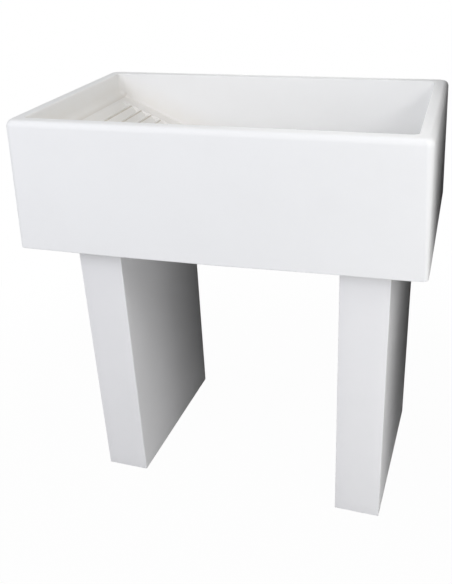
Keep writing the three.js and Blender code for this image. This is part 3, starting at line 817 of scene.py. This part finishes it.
groove_sizes = {
    "Board top X": board_top_x,
    "Board top Z": board_top_z,
    "Slope": BOARD_SLOPE,
    "First crest": BOARD_END_BORDER,
    "Pitch": GROOVE_PITCH,
    "Count": float(GROOVE_COUNT),
    "Depth": GROOVE_DEPTH,
    "Crest flat": CREST_FLAT,
    "Fall run": GROOVE_FALL_RUN,
    "Half length": groove_half_length,
    "End steepness": END_WALL_STEEPNESS,
    "Valley round": 2.0 * MM,
    "Crest round": 0.9 * MM,
}
tree, size = group_tree("press_grooves", groove_sizes)
axes = tree.add("ShaderNodeSeparateXYZ", None, tree.add("GeometryNodeInputPosition"))
sine = size["Slope"].math("SINE")
cosine = size["Slope"].math("COSINE")
down, above = board_axes(axes, size["Board top X"], size["Board top Z"], sine, cosine)

into = down - size["First crest"]
step = into.math("FLOORED_MODULO", size["Pitch"])
rise_run = size["Pitch"] - size["Crest flat"] - size["Fall run"]
fall = (step - size["Crest flat"] / 2) * (size["Depth"] / size["Fall run"])
rise = (size["Pitch"] - size["Crest flat"] / 2 - step) * (size["Depth"] / rise_run)
ends = (size["Half length"] - axes.out("Y").math("ABSOLUTE")) * size["End steepness"]
groove = fall.math("SMOOTH_MIN", rise, size["Valley round"]).math("SMOOTH_MIN", ends, size["Valley round"])
within = groove.math("MINIMUM", into).math("MINIMUM", size["Pitch"] * size["Count"] - into)
depth = within.math("SMOOTH_MAX", 0.0, size["Crest round"])
press = depth * above.math("ABSOLUTE").math("LESS_THAN", ON_BOARD)
offset = tree.add("ShaderNodeCombineXYZ", None, -press * sine, 0.0, -press * cosine)
pressed = tree.add("GeometryNodeSetPosition", None, Geometry=size["Geometry"], Offset=offset)
finish_tree(tree, pressed, "cast_stone")
run_tree(tub, tree, groove_sizes)
print("board pressed:", len(tub.data.vertices), "vertices")

# %% [markdown]
# ## The drain hole
#
# The hole and its shallow recess are cast around a plug in the mould. Their edge is a circle, which the
# sheet's straight columns can't follow, so this is the one place where a cutter is the right tool: a turned
# solid, flared at the top so that the cut leaves a rounded lip.

# %% Drain hole
DRAIN_HOLE = 26.0 * MM
DRAIN_FLARE = 11.0 * MM
DRAIN_RECESS = 40.0 * MM
LIP_ROUND = 3.0 * MM
LIP_TOP = 0.4 * MM                  # the lip's round ends this far above the floor's lowest place
CUT_CLEAR = 10.0 * MM               # the cutter stands out of the stone by this much

recess_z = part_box("flange_seal")[0].z - 0.3 * MM
lip_z = floor_z - FLOOR_FALL + LIP_TOP
cutter_outline = [
    (0.0, under_z - CUT_CLEAR), (DRAIN_HOLE + DRAIN_FLARE, under_z - CUT_CLEAR),
    (DRAIN_HOLE, under_z + 1 * MM), (DRAIN_HOLE, recess_z), (DRAIN_RECESS, recess_z),
    *arc(DRAIN_RECESS + LIP_ROUND, lip_z - LIP_ROUND, LIP_ROUND, 180, 95, 6),
    (DRAIN_RECESS + 2 * LIP_ROUND, floor_z + 2 * CUT_CLEAR), (0.0, floor_z + 2 * CUT_CLEAR)]
combine(tub, turned("drain_cutter", cutter_outline), "DIFFERENCE")
settle(tub, "cast_stone", "tub", crease_degrees=50)

# %% [markdown]
# ## The pedestals
#
# Two equal slabs, cast flat in a frame: plain faces, with the arrises just taken off by hand so that they
# don't chip. A cube with a bevel would do for the shape, but real slabs aren't true: their faces wander by a
# fraction of a millimetre and the arris is wider in some places than in others. So each slab is a rounded
# block cut into small faces, which soft noise then moves.

# %% Pedestals
SLAB_WIDTH = 96.5 * MM
SLAB_DEPTH = 390.0 * MM
SLAB_ARRIS = 1.3 * MM
SLAB_WANDER = 0.0825 * MM           # how far a wave of height 1 draws a face in
SLAB_CELL = 24.0 * MM
PAIR_TURN = Matrix.Rotation(-math.radians(1.85), 4, "Z")
SLAB_WAVES = (11, 17, 29, 41)       # radians per metre: two long waves and two short ones


def wander_slab(mesh, seed):
    """Moves the side faces in by soft waves, never out of the slab's own box."""
    points = np.array([v.co for v in mesh.vertices])
    long_up, long_across, short_up, short_across = SLAB_WAVES
    for axis, other in ((0, 1), (1, 0)):
        up, across = points[:, 2], points[:, other]
        wave = np.sin(up * long_up + seed) * np.cos(across * long_across + 2 * seed)
        wave += 0.5 * np.sin(up * short_up + across * short_across + 3 * seed)
        points[:, axis] -= np.sign(points[:, axis]) * SLAB_WANDER * (1.5 + wave)
    mesh.vertices.foreach_set("co", points.astype(np.float32).ravel())
    mesh.update()


def slab(name, node, seed):
    """A block cut into cells, with its edges rounded and its sides wandering a little."""
    low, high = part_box(node)
    size = Vector((SLAB_WIDTH, SLAB_DEPTH, high.z - low.z))
    work = bmesh.new()
    bmesh.ops.create_cube(work, size=1.0)
    for axis in range(3):
        cuts = max(1, round(size[axis] / SLAB_CELL))
        along = Vector([1.0 if a == axis else 0.0 for a in range(3)])
        for step in range(1, cuts):
            bmesh.ops.bisect_plane(
                work, geom=work.verts[:] + work.edges[:] + work.faces[:],
                plane_co=along * (step / cuts - 0.5), plane_no=along)
    bmesh.ops.scale(work, vec=size, verts=work.verts)
    piece = bevelled(new_object(name, mesh_of(work, name)), SLAB_ARRIS, 4, 60)
    wander_slab(piece.data, seed)
    piece.data.transform(Matrix.Translation(0.5 * (low + high)) @ PAIR_TURN)
    return settle(piece, "pedestal_stone", node, crease_degrees=60)


slab("slab_left", "pedestal_left", 1.0)
slab("slab_right", "pedestal_right", 4.0)

# %% [markdown]
# ## The mortar beds
#
# The tub sits in a thin bed of mortar on each slab. Only a dark line of it shows, because it was squeezed
# out unevenly and raked back. A flat pad would show a ruled edge, so the bed's outline wanders in and out
# along its length, and its edge bulges between the two stones.

# %% Mortar beds
BED_STEPS = 40                      # points along a bed's length
BED_CORNER = 5.0 * MM
BED_INSET = 5.0 * MM                # how far the bed stays inside the slab's edges
BED_WANDER = 2.4 * MM
BED_BULGE = 0.8 * MM
BED_EDGE = 0.4 * MM
BED_WAVES = (160, 90, 210, -70)     # radians per metre: one wave along X and Y, and one along Y and X


def bed_outline(half_x, half_y):
    """A rectangle with round corners and with many points along its sides."""
    points = []
    for side_x, side_y, start in ((1, 1, 0), (-1, 1, 90), (-1, -1, 180), (1, -1, 270)):
        middle = side_x * (half_x - BED_CORNER), side_y * (half_y - BED_CORNER)
        points += arc(*middle, BED_CORNER, start, start + 90, 6)
    dense = []
    for first, second in zip(points, points[1:] + points[:1]):
        pieces = max(1, round(math.dist(first, second) / (2 * half_y) * BED_STEPS))
        dense += [tuple(a + (b - a) * k / pieces for a, b in zip(first, second)) for k in range(pieces)]
    return dense


def mortar_bed(name, node, seed):
    """A thin pad whose edge bulges and whose outline wanders."""
    low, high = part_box(node)
    centre = 0.5 * (low + high)
    half_x, half_y = 0.5 * SLAB_WIDTH - BED_INSET, 0.5 * SLAB_DEPTH - BED_INSET
    outline = bed_outline(half_x, half_y)
    lower, upper = low.z + BED_EDGE, high.z - BED_EDGE
    levels = [(0.0, low.z), (0.6, lower), (1.0, centre.z), (0.6, upper), (0.0, high.z)]
    wide_x, wide_y, narrow_y, narrow_x = BED_WAVES
    vertices = []
    for bulge, height in levels:
        for x, y in outline:
            wave = 0.5 + 0.3 * math.sin(x * wide_x + y * wide_y + seed)
            wave += 0.2 * math.sin(y * narrow_y + x * narrow_x + 2 * seed)
            inset = BED_WANDER * wave + BED_BULGE * (1 - bulge)
            vertices.append((x * (1 - inset / half_x), y * (1 - inset / half_y), height))
    count = len(outline)
    caps = [tuple(range(count))[::-1], tuple(range(len(vertices) - count, len(vertices)))]
    piece = solid(name, vertices, caps + loop_faces(len(levels), count, False))
    piece.data.transform(Matrix.Translation((centre.x, centre.y, 0)) @ PAIR_TURN)
    return settle(piece, "mortar", node, crease_degrees=50)


mortar_bed("bed_left", "mortar_bed_left", 0.7)
mortar_bed("bed_right", "mortar_bed_right", 2.9)

# %% [markdown]
# ## The waste
#
# A waste is a flanged tube with a tapered seat for the plug and a crossbar that stops rings and spoons. It
# is turned from brass and chromed. The tube is spun from its half outline, the crossbar is joined to it, and
# the screw thread is wound round it as a ridge along a helix, because a thread is a path.

# %% Waste body
FLANGE_THICKNESS = 3.0 * MM
SEAT_TOP = 22.6 * MM
SEAT_BOTTOM = 21.0 * MM
SEAT_HEIGHT = 12.0 * MM
BORE = 19.5 * MM
THREAD_OUTER = 23.9 * MM
THREAD_DEPTH = 0.9 * MM
PLAIN_NECK = 8.0 * MM               # the tube is plain from the flange down to here
CROSSBAR_DEPTH = 15.0 * MM
CROSSBAR_SIZE = (4.0 * MM, 3.5 * MM)
CROSSBAR_ROUND = 1.0 * MM
HUB_RADIUS = 5.0 * MM

flange_z = waste_high.z
flange_radius = 0.5 * (waste_high.x - waste_low.x)
core = THREAD_OUTER - THREAD_DEPTH
neck_z = flange_z - FLANGE_THICKNESS
crossbar_z = flange_z - CROSSBAR_DEPTH
body_outline = [
    (BORE + 0.5 * MM, waste_low.z), (core - 0.8 * MM, waste_low.z), (core, waste_low.z + 0.8 * MM),
    (core, neck_z - PLAIN_NECK - 1 * MM), (THREAD_OUTER, neck_z - PLAIN_NECK), (THREAD_OUTER, neck_z),
    (flange_radius - 0.4 * MM, neck_z), (flange_radius, neck_z + 0.4 * MM),
    *corner(flange_radius, flange_z, 1.4 * MM, HIGH_OUTER, 6),
    *arc(SEAT_TOP + 1.2 * MM, flange_z - 1.2 * MM, 1.2 * MM, 90, 172, 5),
    (SEAT_BOTTOM, flange_z - SEAT_HEIGHT), (BORE, flange_z - SEAT_HEIGHT - 1.5 * MM),
    (BORE, waste_low.z + 0.5 * MM)]
waste = turned("waste_body_turned", body_outline)


def disc(name, radius, low, high, rounding):
    """A round plate on the drain's axis with its edges rounded."""
    edge = corner(radius, low, rounding, LOW_OUTER) + corner(radius, high, rounding, HIGH_OUTER)
    return turned(name, [(0.0, low), *edge, (0.0, high)])


def crossbar_arm(angle):
    """A bar right across the bore."""
    work = bmesh.new()
    bmesh.ops.create_cube(work, size=1.0)
    bmesh.ops.scale(work, vec=(2 * BORE + 2 * MM, *CROSSBAR_SIZE), verts=work.verts)
    long_edges = [e for e in work.edges if abs(e.verts[0].co.x - e.verts[1].co.x) > BORE]
    bmesh.ops.bevel(work, geom=long_edges, offset=CROSSBAR_ROUND, segments=3, affect="EDGES", profile=0.5)
    arm = new_object("arm", mesh_of(work, "arm"))
    middle = Matrix.Translation((drain_x, 0, crossbar_z - CROSSBAR_SIZE[1] / 2))
    arm.data.transform(middle @ Matrix.Rotation(angle, 4, "Z"))
    return arm


hub = disc("hub", HUB_RADIUS, crossbar_z - CROSSBAR_SIZE[1], crossbar_z, 0.8 * MM)
for part in (crossbar_arm(0.0), crossbar_arm(math.pi / 2), hub):
    combine(waste, part, "UNION")
settle(waste, "chrome", "waste_body")

# %% Screw thread
thread_sizes = {
    "Radius": core - 0.15 * MM,
    "Ridge": THREAD_DEPTH + 0.1 * MM,
    "Pitch": 2.31 * MM,
    "Low": waste_low.z + 2.0 * MM,
    "High": neck_z - PLAIN_NECK - 2.0 * MM,
    "Axis X": drain_x,
}
turns = (thread_sizes["High"] - thread_sizes["Low"]) / thread_sizes["Pitch"]
tree, size = group_tree("wind_thread", thread_sizes)
helix = tree.add(
    "GeometryNodeCurveSpiral", None, Resolution=48, Rotations=turns, Start_Radius=size["Radius"],
    End_Radius=size["Radius"], Height=size["High"] - size["Low"])
ridge = tree.add(
    "GeometryNodeCurvePrimitiveCircle", {"mode": "RADIUS"}, Resolution=6, Radius=size["Ridge"])
wound = tree.add("GeometryNodeCurveToMesh", None, Curve=helix, Profile_Curve=ridge, Fill_Caps=True)
finish_tree(tree, shifted(tree, wound, size["Axis X"], size["Low"]), "chrome")
thread = new_object("waste_thread", bpy.data.meshes.new("waste_thread"))
run_tree(thread, tree, thread_sizes)
settle(thread, "chrome", crease_degrees=70)

# %% [markdown]
# ## Seals, washers and nuts
#
# Under the tub a rubber washer, a slippery plastic washer and a brass nut clamp the waste. The washers are
# plain rings, so one function turns them all from the frame's own boxes. The nut is a hexagon whose corners
# are turned off, which is what a lathe does to bar stock: here a hexagonal bar is intersected with a turned
# barrel.

# %% Washers
THREAD_CLEAR = THREAD_OUTER + 0.3 * MM


def washer(name, node, inner, slot, rounding):
    low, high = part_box(node)
    outer = 0.5 * (high.x - low.x)
    piece = turned(name, ring_outline(inner, outer, low.z, high.z, rounding))
    return settle(piece, slot, node)


washer("seal_under_flange", "flange_seal", THREAD_CLEAR, "black_rubber", 0.5 * MM)
washer("washer_rubber", "rubber_washer", THREAD_CLEAR, "black_rubber", 0.9 * MM)
washer("washer_plastic", "slip_washer", THREAD_CLEAR, "white_plastic", 0.3 * MM)
washer("washer_tail", "tail_washer", BORE, "black_rubber", 0.5 * MM)

# %% Back nut
NUT_FLATS = 60.0 * MM
NUT_SKIRT = (34.0 * MM, 3.0 * MM)   # radius and height
NUT_CHAMFER = (1.2 * MM, 3.2 * MM)  # the barrel's edge stands past the flats, and rises this high
BORE_CHAMFER = 2.0 * MM

nut_low, nut_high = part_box("back_nut")
low_z, high_z = nut_low.z, nut_high.z
nut_corner = NUT_FLATS / 2 / math.cos(math.pi / 6)
past = 1 * MM                       # the cutters stand past the nut by this much
bar = turned("nut_bar", [(0.0, low_z), (nut_corner, low_z), (nut_corner, high_z), (0.0, high_z)], 6)
barrel = turned("nut_barrel", [
    (0.0, low_z), (NUT_FLATS / 2 + NUT_CHAMFER[0], low_z), (nut_corner + past, low_z + NUT_CHAMFER[1]),
    (nut_corner + past, high_z + past), (0.0, high_z + past)])
combine(bar, barrel, "INTERSECT")
combine(bar, disc("nut_skirt", NUT_SKIRT[0], high_z - NUT_SKIRT[1], high_z, 0.8 * MM), "UNION")
bore_cut = turned("nut_bore", [
    (0.0, low_z - past), (THREAD_CLEAR + BORE_CHAMFER, low_z - past), (THREAD_CLEAR, low_z + past),
    (THREAD_CLEAR, high_z + past), (0.0, high_z + past)])
combine(bar, bore_cut, "DIFFERENCE")
bar.name = "back_nut_turned"
settle(bar, "brass", "back_nut", crease_degrees=25)

# %% Tailpiece
TAIL_RADIUS = 20.0 * MM
TAIL_WALL = 2.2 * MM
TAIL_ROUND = 0.6 * MM
COLLAR = 3.0 * MM
COLLAR_FILLET = 1.5 * MM

tail_low, tail_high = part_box("tailpiece")
tail_bore = TAIL_RADIUS - TAIL_WALL
collar_radius = 0.5 * (tail_high.x - tail_low.x)
collar_z = tail_high.z - COLLAR
tail_outline = [
    *corner(TAIL_RADIUS, tail_low.z, TAIL_ROUND, LOW_OUTER),
    *arc(TAIL_RADIUS + COLLAR_FILLET, collar_z - COLLAR_FILLET, COLLAR_FILLET, 180, 90, 4),
    *corner(collar_radius, collar_z, TAIL_ROUND, LOW_OUTER),
    *corner(collar_radius, tail_high.z, TAIL_ROUND, HIGH_OUTER),
    (tail_bore, tail_high.z), (tail_bore, tail_low.z + 0.4 * MM), (tail_bore + 0.4 * MM, tail_low.z)]
settle(turned("tailpiece_pipe", tail_outline), "white_plastic", "tailpiece")

# %% [markdown]
# ## The coupling nut
#
# The nut that holds the tailpiece is moulded plastic with grip ribs all round, tightened by hand. The ribs
# are copies of one small bar set round a circle, which is what instancing does best: the tree makes one bar,
# puts it on the points of a circle and turns each copy outwards.

# %% Coupling nut
COUPLING_RADIUS = 29.0 * MM
COUPLING_LIP = 3.0 * MM
COUPLING_ROUND = (2.0 * MM, 0.8 * MM)     # at its lower and its upper edge
RIB_COUNT = 12
RIB_DEPTH = 1.6 * MM
RIB_WIDTH = 4.0 * MM

coupling_low, coupling_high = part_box("coupling_nut")
low_z, high_z = coupling_low.z, coupling_high.z
lip_radius = TAIL_RADIUS + 0.3 * MM
low_round, high_round = COUPLING_ROUND
coupling_outline = [
    (lip_radius, low_z), (COUPLING_RADIUS - low_round - 0.2 * MM, low_z),
    *arc(COUPLING_RADIUS - low_round, low_z + low_round, low_round, -70, 0, 4),
    *corner(COUPLING_RADIUS, high_z, high_round, HIGH_OUTER),
    (THREAD_CLEAR + 1.0 * MM, high_z), (THREAD_CLEAR, high_z - 1.0 * MM),
    (THREAD_CLEAR, low_z + COUPLING_LIP), (lip_radius, low_z + COUPLING_LIP)]
settle(turned("coupling_shell", coupling_outline), "white_plastic", "coupling_nut")

rib_sizes = {
    "Circle": COUPLING_RADIUS,
    "Rib depth": RIB_DEPTH,
    "Rib width": RIB_WIDTH,
    "Rib height": high_z - low_z - 2 * RIB_DEPTH,
    "Middle Z": 0.5 * (low_z + high_z),
    "Axis X": drain_x,
}
tree, size = group_tree("stand_ribs", rib_sizes)
circle = tree.add("GeometryNodeMeshCircle", None, Vertices=RIB_COUNT, Radius=size["Circle"])
rib = tree.add("GeometryNodeMeshCylinder", None, Vertices=12, Radius=0.5, Depth=1.0)
rib_scale = tree.add(
    "ShaderNodeCombineXYZ", None, size["Rib depth"] * 2, size["Rib width"], size["Rib height"])
rib_shape = tree.add("GeometryNodeTransform", None, Geometry=rib.out("Mesh"), Scale=rib_scale)
from_axis = tree.add("GeometryNodeInputPosition")
facing = tree.add("FunctionNodeAlignRotationToVector", {"axis": "X"}, Vector=from_axis)
copies = tree.add("GeometryNodeInstanceOnPoints", None, Points=circle, Instance=rib_shape, Rotation=facing)
finish_tree(tree, shifted(tree, copies, size["Axis X"], size["Middle Z"]), "white_plastic")
ribs = new_object("coupling_ribs", bpy.data.meshes.new("coupling_ribs"))
run_tree(ribs, tree, rib_sizes)
settle(ribs, "white_plastic")

# %% [markdown]
# ## The plug, its eye and its ring
#
# The plug is moulded rubber: a taper that wedges into the seat, a head that lies on the flange, and a raised
# boss. A metal eye is pressed into the boss, and a ring of bright wire hangs from it and lies on the head.
# The ring turns in the eye, so it is a piece of its own on its own body.

# %% Plug
SEAT_PLAY = 0.3 * MM
PLUG_HEAD = 4.0 * MM
PLUG_EDGE = 1.6 * MM
PLUG_NECK = 0.9 * MM                # the taper is drawn in by this much under the head
PLUG_HOLLOW = (2.5 * MM, 3.5 * MM, 4.5 * MM)    # its height, and how far in it is at its foot and top
RAISED_EDGE = (4.0 * MM, 5.0 * MM, 0.7 * MM)    # how far in it reaches at its top and foot, its height
BOSS_RADIUS = 6.0 * MM
BOSS_FILLET = 2.3 * MM
SOCKET = (2.1 * MM, 7.3 * MM)       # radius and depth of the hole for the eye

plug_low, plug_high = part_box("plug")
plug_radius = 0.5 * (plug_high.x - plug_low.x)
head_low = flange_z + SEAT_PLAY
head_top = head_low + PLUG_HEAD
taper_top = SEAT_TOP - SEAT_PLAY
taper_bottom = taper_top - (SEAT_TOP - SEAT_BOTTOM) / SEAT_HEIGHT * (flange_z - plug_low.z)
low_z, high_z = plug_low.z, plug_high.z
hollow_height, hollow_outer, hollow_inner = PLUG_HOLLOW
edge_outer, edge_inner, edge_height = RAISED_EDGE
plug_outline = [
    (0.0, low_z + hollow_height), (taper_bottom - hollow_inner, low_z + hollow_height),
    (taper_bottom - hollow_outer, low_z),
    *corner(taper_bottom, low_z, 1.0 * MM, LOW_OUTER, 4),
    (taper_top - PLUG_NECK, flange_z - 1.6 * MM), (taper_top - PLUG_NECK, head_low),
    (plug_radius - 0.6 * MM, head_low),
    *arc(plug_radius - PLUG_EDGE, head_top - PLUG_EDGE, PLUG_EDGE, -20, 90, 8),
    (plug_radius - edge_outer, head_top), (plug_radius - edge_inner, head_top - edge_height),
    (BOSS_RADIUS + 3.5 * MM, head_top - edge_height),
    *arc(BOSS_RADIUS + 1.8 * MM, high_z + 0.5 * MM, BOSS_FILLET, 265, 205, 4),
    (BOSS_RADIUS - 0.6 * MM, high_z), (SOCKET[0], high_z),
    (SOCKET[0], high_z - SOCKET[1]), (0.0, high_z - SOCKET[1])]
settle(turned("plug_moulded", plug_outline), "plug_rubber", "plug", body="plug")

# %% Eye
EYE_HOLE_HEIGHT = 5.2 * MM
EYE_HOLE = 1.6 * MM
EYE_HOLE_FLARE = (0.9 * MM, 0.5 * MM)
EYE_HALF_WIDTH = 3.2 * MM
EYE_THICKNESS = 3.0 * MM
EYE_BASE_HEIGHT = 1.2 * MM
EYE_STEM = (1.2 * MM, 1.8 * MM)     # its radius at the tip and further up
EYE_STEPS = 25

hole_z = plug_high.z + EYE_HOLE_HEIGHT
base_low = plug_high.z + SEAT_PLAY
base_high = base_low + EYE_BASE_HEIGHT
stem_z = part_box("plug_eye")[0].z
eye = turned("plug_eye_pressed", [
    (0.0, stem_z), (EYE_STEM[0], stem_z), (EYE_STEM[1], stem_z + 0.8 * MM), (EYE_STEM[1], base_low),
    (BOSS_RADIUS - 0.3 * MM, base_low), *corner(BOSS_RADIUS, base_high, 0.5 * MM, HIGH_OUTER, 4),
    (0.0, base_high)], 48)


def eye_post():
    """A thin plate with a round head and rounded edges, standing on the base."""
    foot_z = base_low + 0.3 * MM
    head = arc(0.0, hole_z, EYE_HALF_WIDTH, 0, 180, EYE_STEPS - 1)
    outline = [(EYE_HALF_WIDTH, foot_z), *head, (-EYE_HALF_WIDTH, foot_z)]
    half, count = EYE_THICKNESS / 2, len(outline)
    vertices = [(drain_x + x, y, z) for y in (-half, half) for x, z in outline]
    caps = [tuple(range(count)), tuple(range(count, 2 * count))[::-1]]
    return bevelled(solid("eye_post", vertices, caps + loop_faces(2, count, False)), 0.45 * MM, 3, 50)


combine(eye, eye_post(), "UNION")
flare, flare_depth = EYE_HOLE_FLARE
through, flare_z = EYE_THICKNESS, EYE_THICKNESS / 2 - flare_depth
pin = turned("eye_hole", [
    (0.0, -through), (EYE_HOLE + flare, -through), (EYE_HOLE, -flare_z),
    (EYE_HOLE, flare_z), (EYE_HOLE + flare, through), (0.0, through)], 32, axis_x=0.0)
pin.data.transform(Matrix.Translation((drain_x, 0, hole_z)) @ Matrix.Rotation(math.pi / 2, 4, "X"))
combine(eye, pin, "DIFFERENCE")
settle(eye, "steel", "plug_eye", body="plug")

# %% Pull ring
RING_RADIUS = 11.0 * MM
WIRE_RADIUS = 1.1 * MM
RING_STEPS, WIRE_STEPS = 72, 16
SEAM_BULGE = 0.12                   # the weld where the wire's ends meet is thicker by this share
SEAM_STEP = RING_STEPS / 8
SEAM_WIDTH = 0.8

ring_tilt = math.asin((hole_z - head_top - WIRE_RADIUS - SEAT_PLAY) / (2 * RING_RADIUS))
ring_vertices = []
for step in range(RING_STEPS):
    angle = 2 * math.pi * step / RING_STEPS
    thickness = WIRE_RADIUS * (1 + SEAM_BULGE * math.exp(-((step - SEAM_STEP) / SEAM_WIDTH) ** 2))
    for around in range(WIRE_STEPS):
        turn_angle = 2 * math.pi * around / WIRE_STEPS
        reach = RING_RADIUS + thickness * math.cos(turn_angle)
        rise = thickness * math.sin(turn_angle)
        ring_vertices.append((RING_RADIUS + reach * math.cos(angle), reach * math.sin(angle), rise))
pull_ring = solid("pull_ring_wire", ring_vertices, loop_faces(RING_STEPS, WIRE_STEPS, True))
pull_ring.data.transform(Matrix.Translation((drain_x, 0, hole_z)) @ Matrix.Rotation(ring_tilt, 4, "Y"))
settle(pull_ring, "steel", "pull_ring", body="ring")

# %% [markdown]
# ## Floor and light
#
# The sink stands on a plain pale floor. The floor and the sky turn white for the camera and for reflections,
# so that the background is white while the lamps stay gentle. Close to the sink the floor keeps a little of
# its own shading, which is where the sink's soft shadow shows.

# %% World
AMBIENT = 0.44
WHITE = (1.0, 1.0, 1.0, 1.0)

world = bpy.data.worlds.new("studio")
bpy.context.scene.world = world
world.use_nodes = True
world.node_tree.nodes.clear()
tree = Tree(world.node_tree)


def seen_directly(tree):
    """1 for rays from the camera, in reflections and through glass, and 0 for light that bounces."""
    path = tree.add("ShaderNodeLightPath")
    return path.math("MAXIMUM", path.out("Is Glossy Ray")).math("MAXIMUM", path.out("Is Transmission Ray"))


strength = seen_directly(tree) * (1.0 - AMBIENT) + AMBIENT
sky = tree.add("ShaderNodeBackground", None, Color=WHITE, Strength=strength)
tree.add("ShaderNodeOutputWorld", None, sky)
print("sky:", AMBIENT)

# %% Floor
FLOOR_HALF = 20.0
FLOOR_COLOUR = (0.4, 0.4, 0.4, 1.0)
FLOOR_WHITENESS = 0.98
SHADOW_REACH = (0.5, 1.3)           # the floor's own shading fades out between these distances

floor_corners = [(-FLOOR_HALF, -FLOOR_HALF), (FLOOR_HALF, -FLOOR_HALF), (FLOOR_HALF, FLOOR_HALF),
                 (-FLOOR_HALF, FLOOR_HALF)]
floor = new_object("floor", mesh_from("floor", [(x, y, 0.0) for x, y in floor_corners], [(0, 1, 2, 3)]))
tree = new_material("floor_paint")
from_sink = tree.add("ShaderNodeVectorMath", {"operation": "LENGTH"}, object_place(tree)).out("Value")
whiteness = from_sink.between(*SHADOW_REACH) * (1 - FLOOR_WHITENESS) + FLOOR_WHITENESS
matte = tree.add("ShaderNodeBsdfDiffuse", None, Color=FLOOR_COLOUR)
white = tree.add("ShaderNodeEmission", None, Color=WHITE, Strength=1.0)
mixed = tree.add("ShaderNodeMixShader", None, seen_directly(tree) * whiteness, matte, white)
tree.add("ShaderNodeOutputMaterial", None, mixed)
floor.data.materials.append(finishes["floor_paint"])

# %% [markdown]
# ## Lamps and black flags
#
# Catalogue pictures of white stone are lit from the front, so that front faces are bright and even, and the
# sides are kept dark, because white edges would vanish into a white background. A photographer does the
# second part with flags, which are black boards that stand beside the object and take light away. Lamps
# alone can't do it: white floor and white stone pass light on to each other until every side is pale.
#
# Two cool lamps at the front left light the fronts and look over the rim into the basin. A lamp at the right
# lights the right face's front part, and a small one above it reaches over the rim to the basin's left wall.
# Two low ones touch the front edges of the pedestals' sides, which then fade towards the back, and lamps at
# the left and behind keep the other sides readable. The flags stand beside the tub at both ends and lower
# down beside the right pedestal, behind the right corner, behind the space between the pedestals and in the
# middle of it. Neither lamps nor flags show to the camera.

# %% Lamps
NEUTRAL = (1.0, 1.0, 1.0)
COOL = (0.923, 0.936, 1.0)
MIDDLE = (0.0, 0.0, 0.6)
LAMPS = [                           # name, place, what it faces, width and height, watts, colour
    ("key_lamp", (-0.9, -1.9, 1.7), MIDDLE, (1.2, 1.0), 20.8, COOL),
    ("far_lamp", (-0.5, -2.8, 1.3), MIDDLE, (1.5, 1.2), 9.0, COOL),
    ("right_lamp", (1.2, -0.7, 1.5), (0.4, 0.0, 0.75), (0.7, 0.6), 6.1, NEUTRAL),
    ("basin_lamp", (1.1, 0.0, 1.7), (-0.37, 0.0, 0.75), (0.5, 0.5), 2.2, NEUTRAL),
    ("low_lamp", (1.3, -0.5, 0.35), (-0.1, 0.0, 0.3), (0.5, 0.5), 2.0, NEUTRAL),
    ("floor_lamp", (1.1, -0.9, 0.1), (0.2, 0.0, 0.12), (0.8, 0.12), 1.9, NEUTRAL),
    ("left_lamp", (-1.8, 0.0, 1.2), MIDDLE, (1.2, 1.6), 1.2, NEUTRAL),
    ("back_lamp", (0.0, 1.8, 1.3), MIDDLE, (1.4, 1.4), 12.0, NEUTRAL),
]
for name, place, aim, (width, height), power, colour in LAMPS:
    data = bpy.data.lights.new(name, "AREA")
    data.shape = "RECTANGLE"
    data.size = width
    data.size_y = height
    data.energy = power
    data.color = colour
    lamp = new_object(name, data)
    facing = (Vector(aim) - Vector(place)).to_track_quat("-Z", "Y")
    lamp.matrix_world = Matrix.Translation(place) @ facing.to_matrix().to_4x4()
    lamp.visible_camera = False

# %% Flags
SIDE_X, LOW_X, INNER_X, LEFT_X = 0.6, 0.5, 0.0, -0.5
BEHIND_Y, BETWEEN_Y = 0.6, 0.26
UNDER_TUB_Z = 0.58
BLACK = (0.01, 0.01, 0.01, 1.0)
FLAGS = [                           # each board's lower front left and its upper back right corner
    ((SIDE_X, -0.235, 0.0), (SIDE_X, BEHIND_Y, 1.0)),
    ((LOW_X, -0.1, 0.0), (LOW_X, BEHIND_Y, 0.55)),
    ((SIDE_X, 0.1, 1.0), (SIDE_X, BEHIND_Y, 1.5)),
    ((0.36, BEHIND_Y, 0.0), (SIDE_X, BEHIND_Y, 1.5)),
    ((-0.21, BETWEEN_Y, 0.0), (0.40, BETWEEN_Y, UNDER_TUB_Z)),
    ((INNER_X, 0.03, 0.0), (INNER_X, BETWEEN_Y, UNDER_TUB_Z)),
    ((LEFT_X, -0.22, 0.3), (LEFT_X, 0.3, 0.93)),
]
flag_corners = []
for (x1, y1, z1), (x2, y2, z2) in FLAGS:
    flag_corners += [(x1, y1, z1), (x2, y2, z1), (x2, y2, z2), (x1, y1, z2)]
flag_faces = [tuple(range(first, first + 4)) for first in range(0, len(flag_corners), 4)]
flags = new_object("flags", mesh_from("flags", flag_corners, flag_faces))
tree = new_material("flag_cloth")
tree.add("ShaderNodeOutputMaterial", None, tree.add("ShaderNodeBsdfDiffuse", None, Color=BLACK))
flags.data.materials.append(finishes["flag_cloth"])
flags.visible_camera = False
print("lamps and flags:", len(LAMPS), len(FLAGS))

bpy.context.scene.view_settings.view_transform = "Standard"
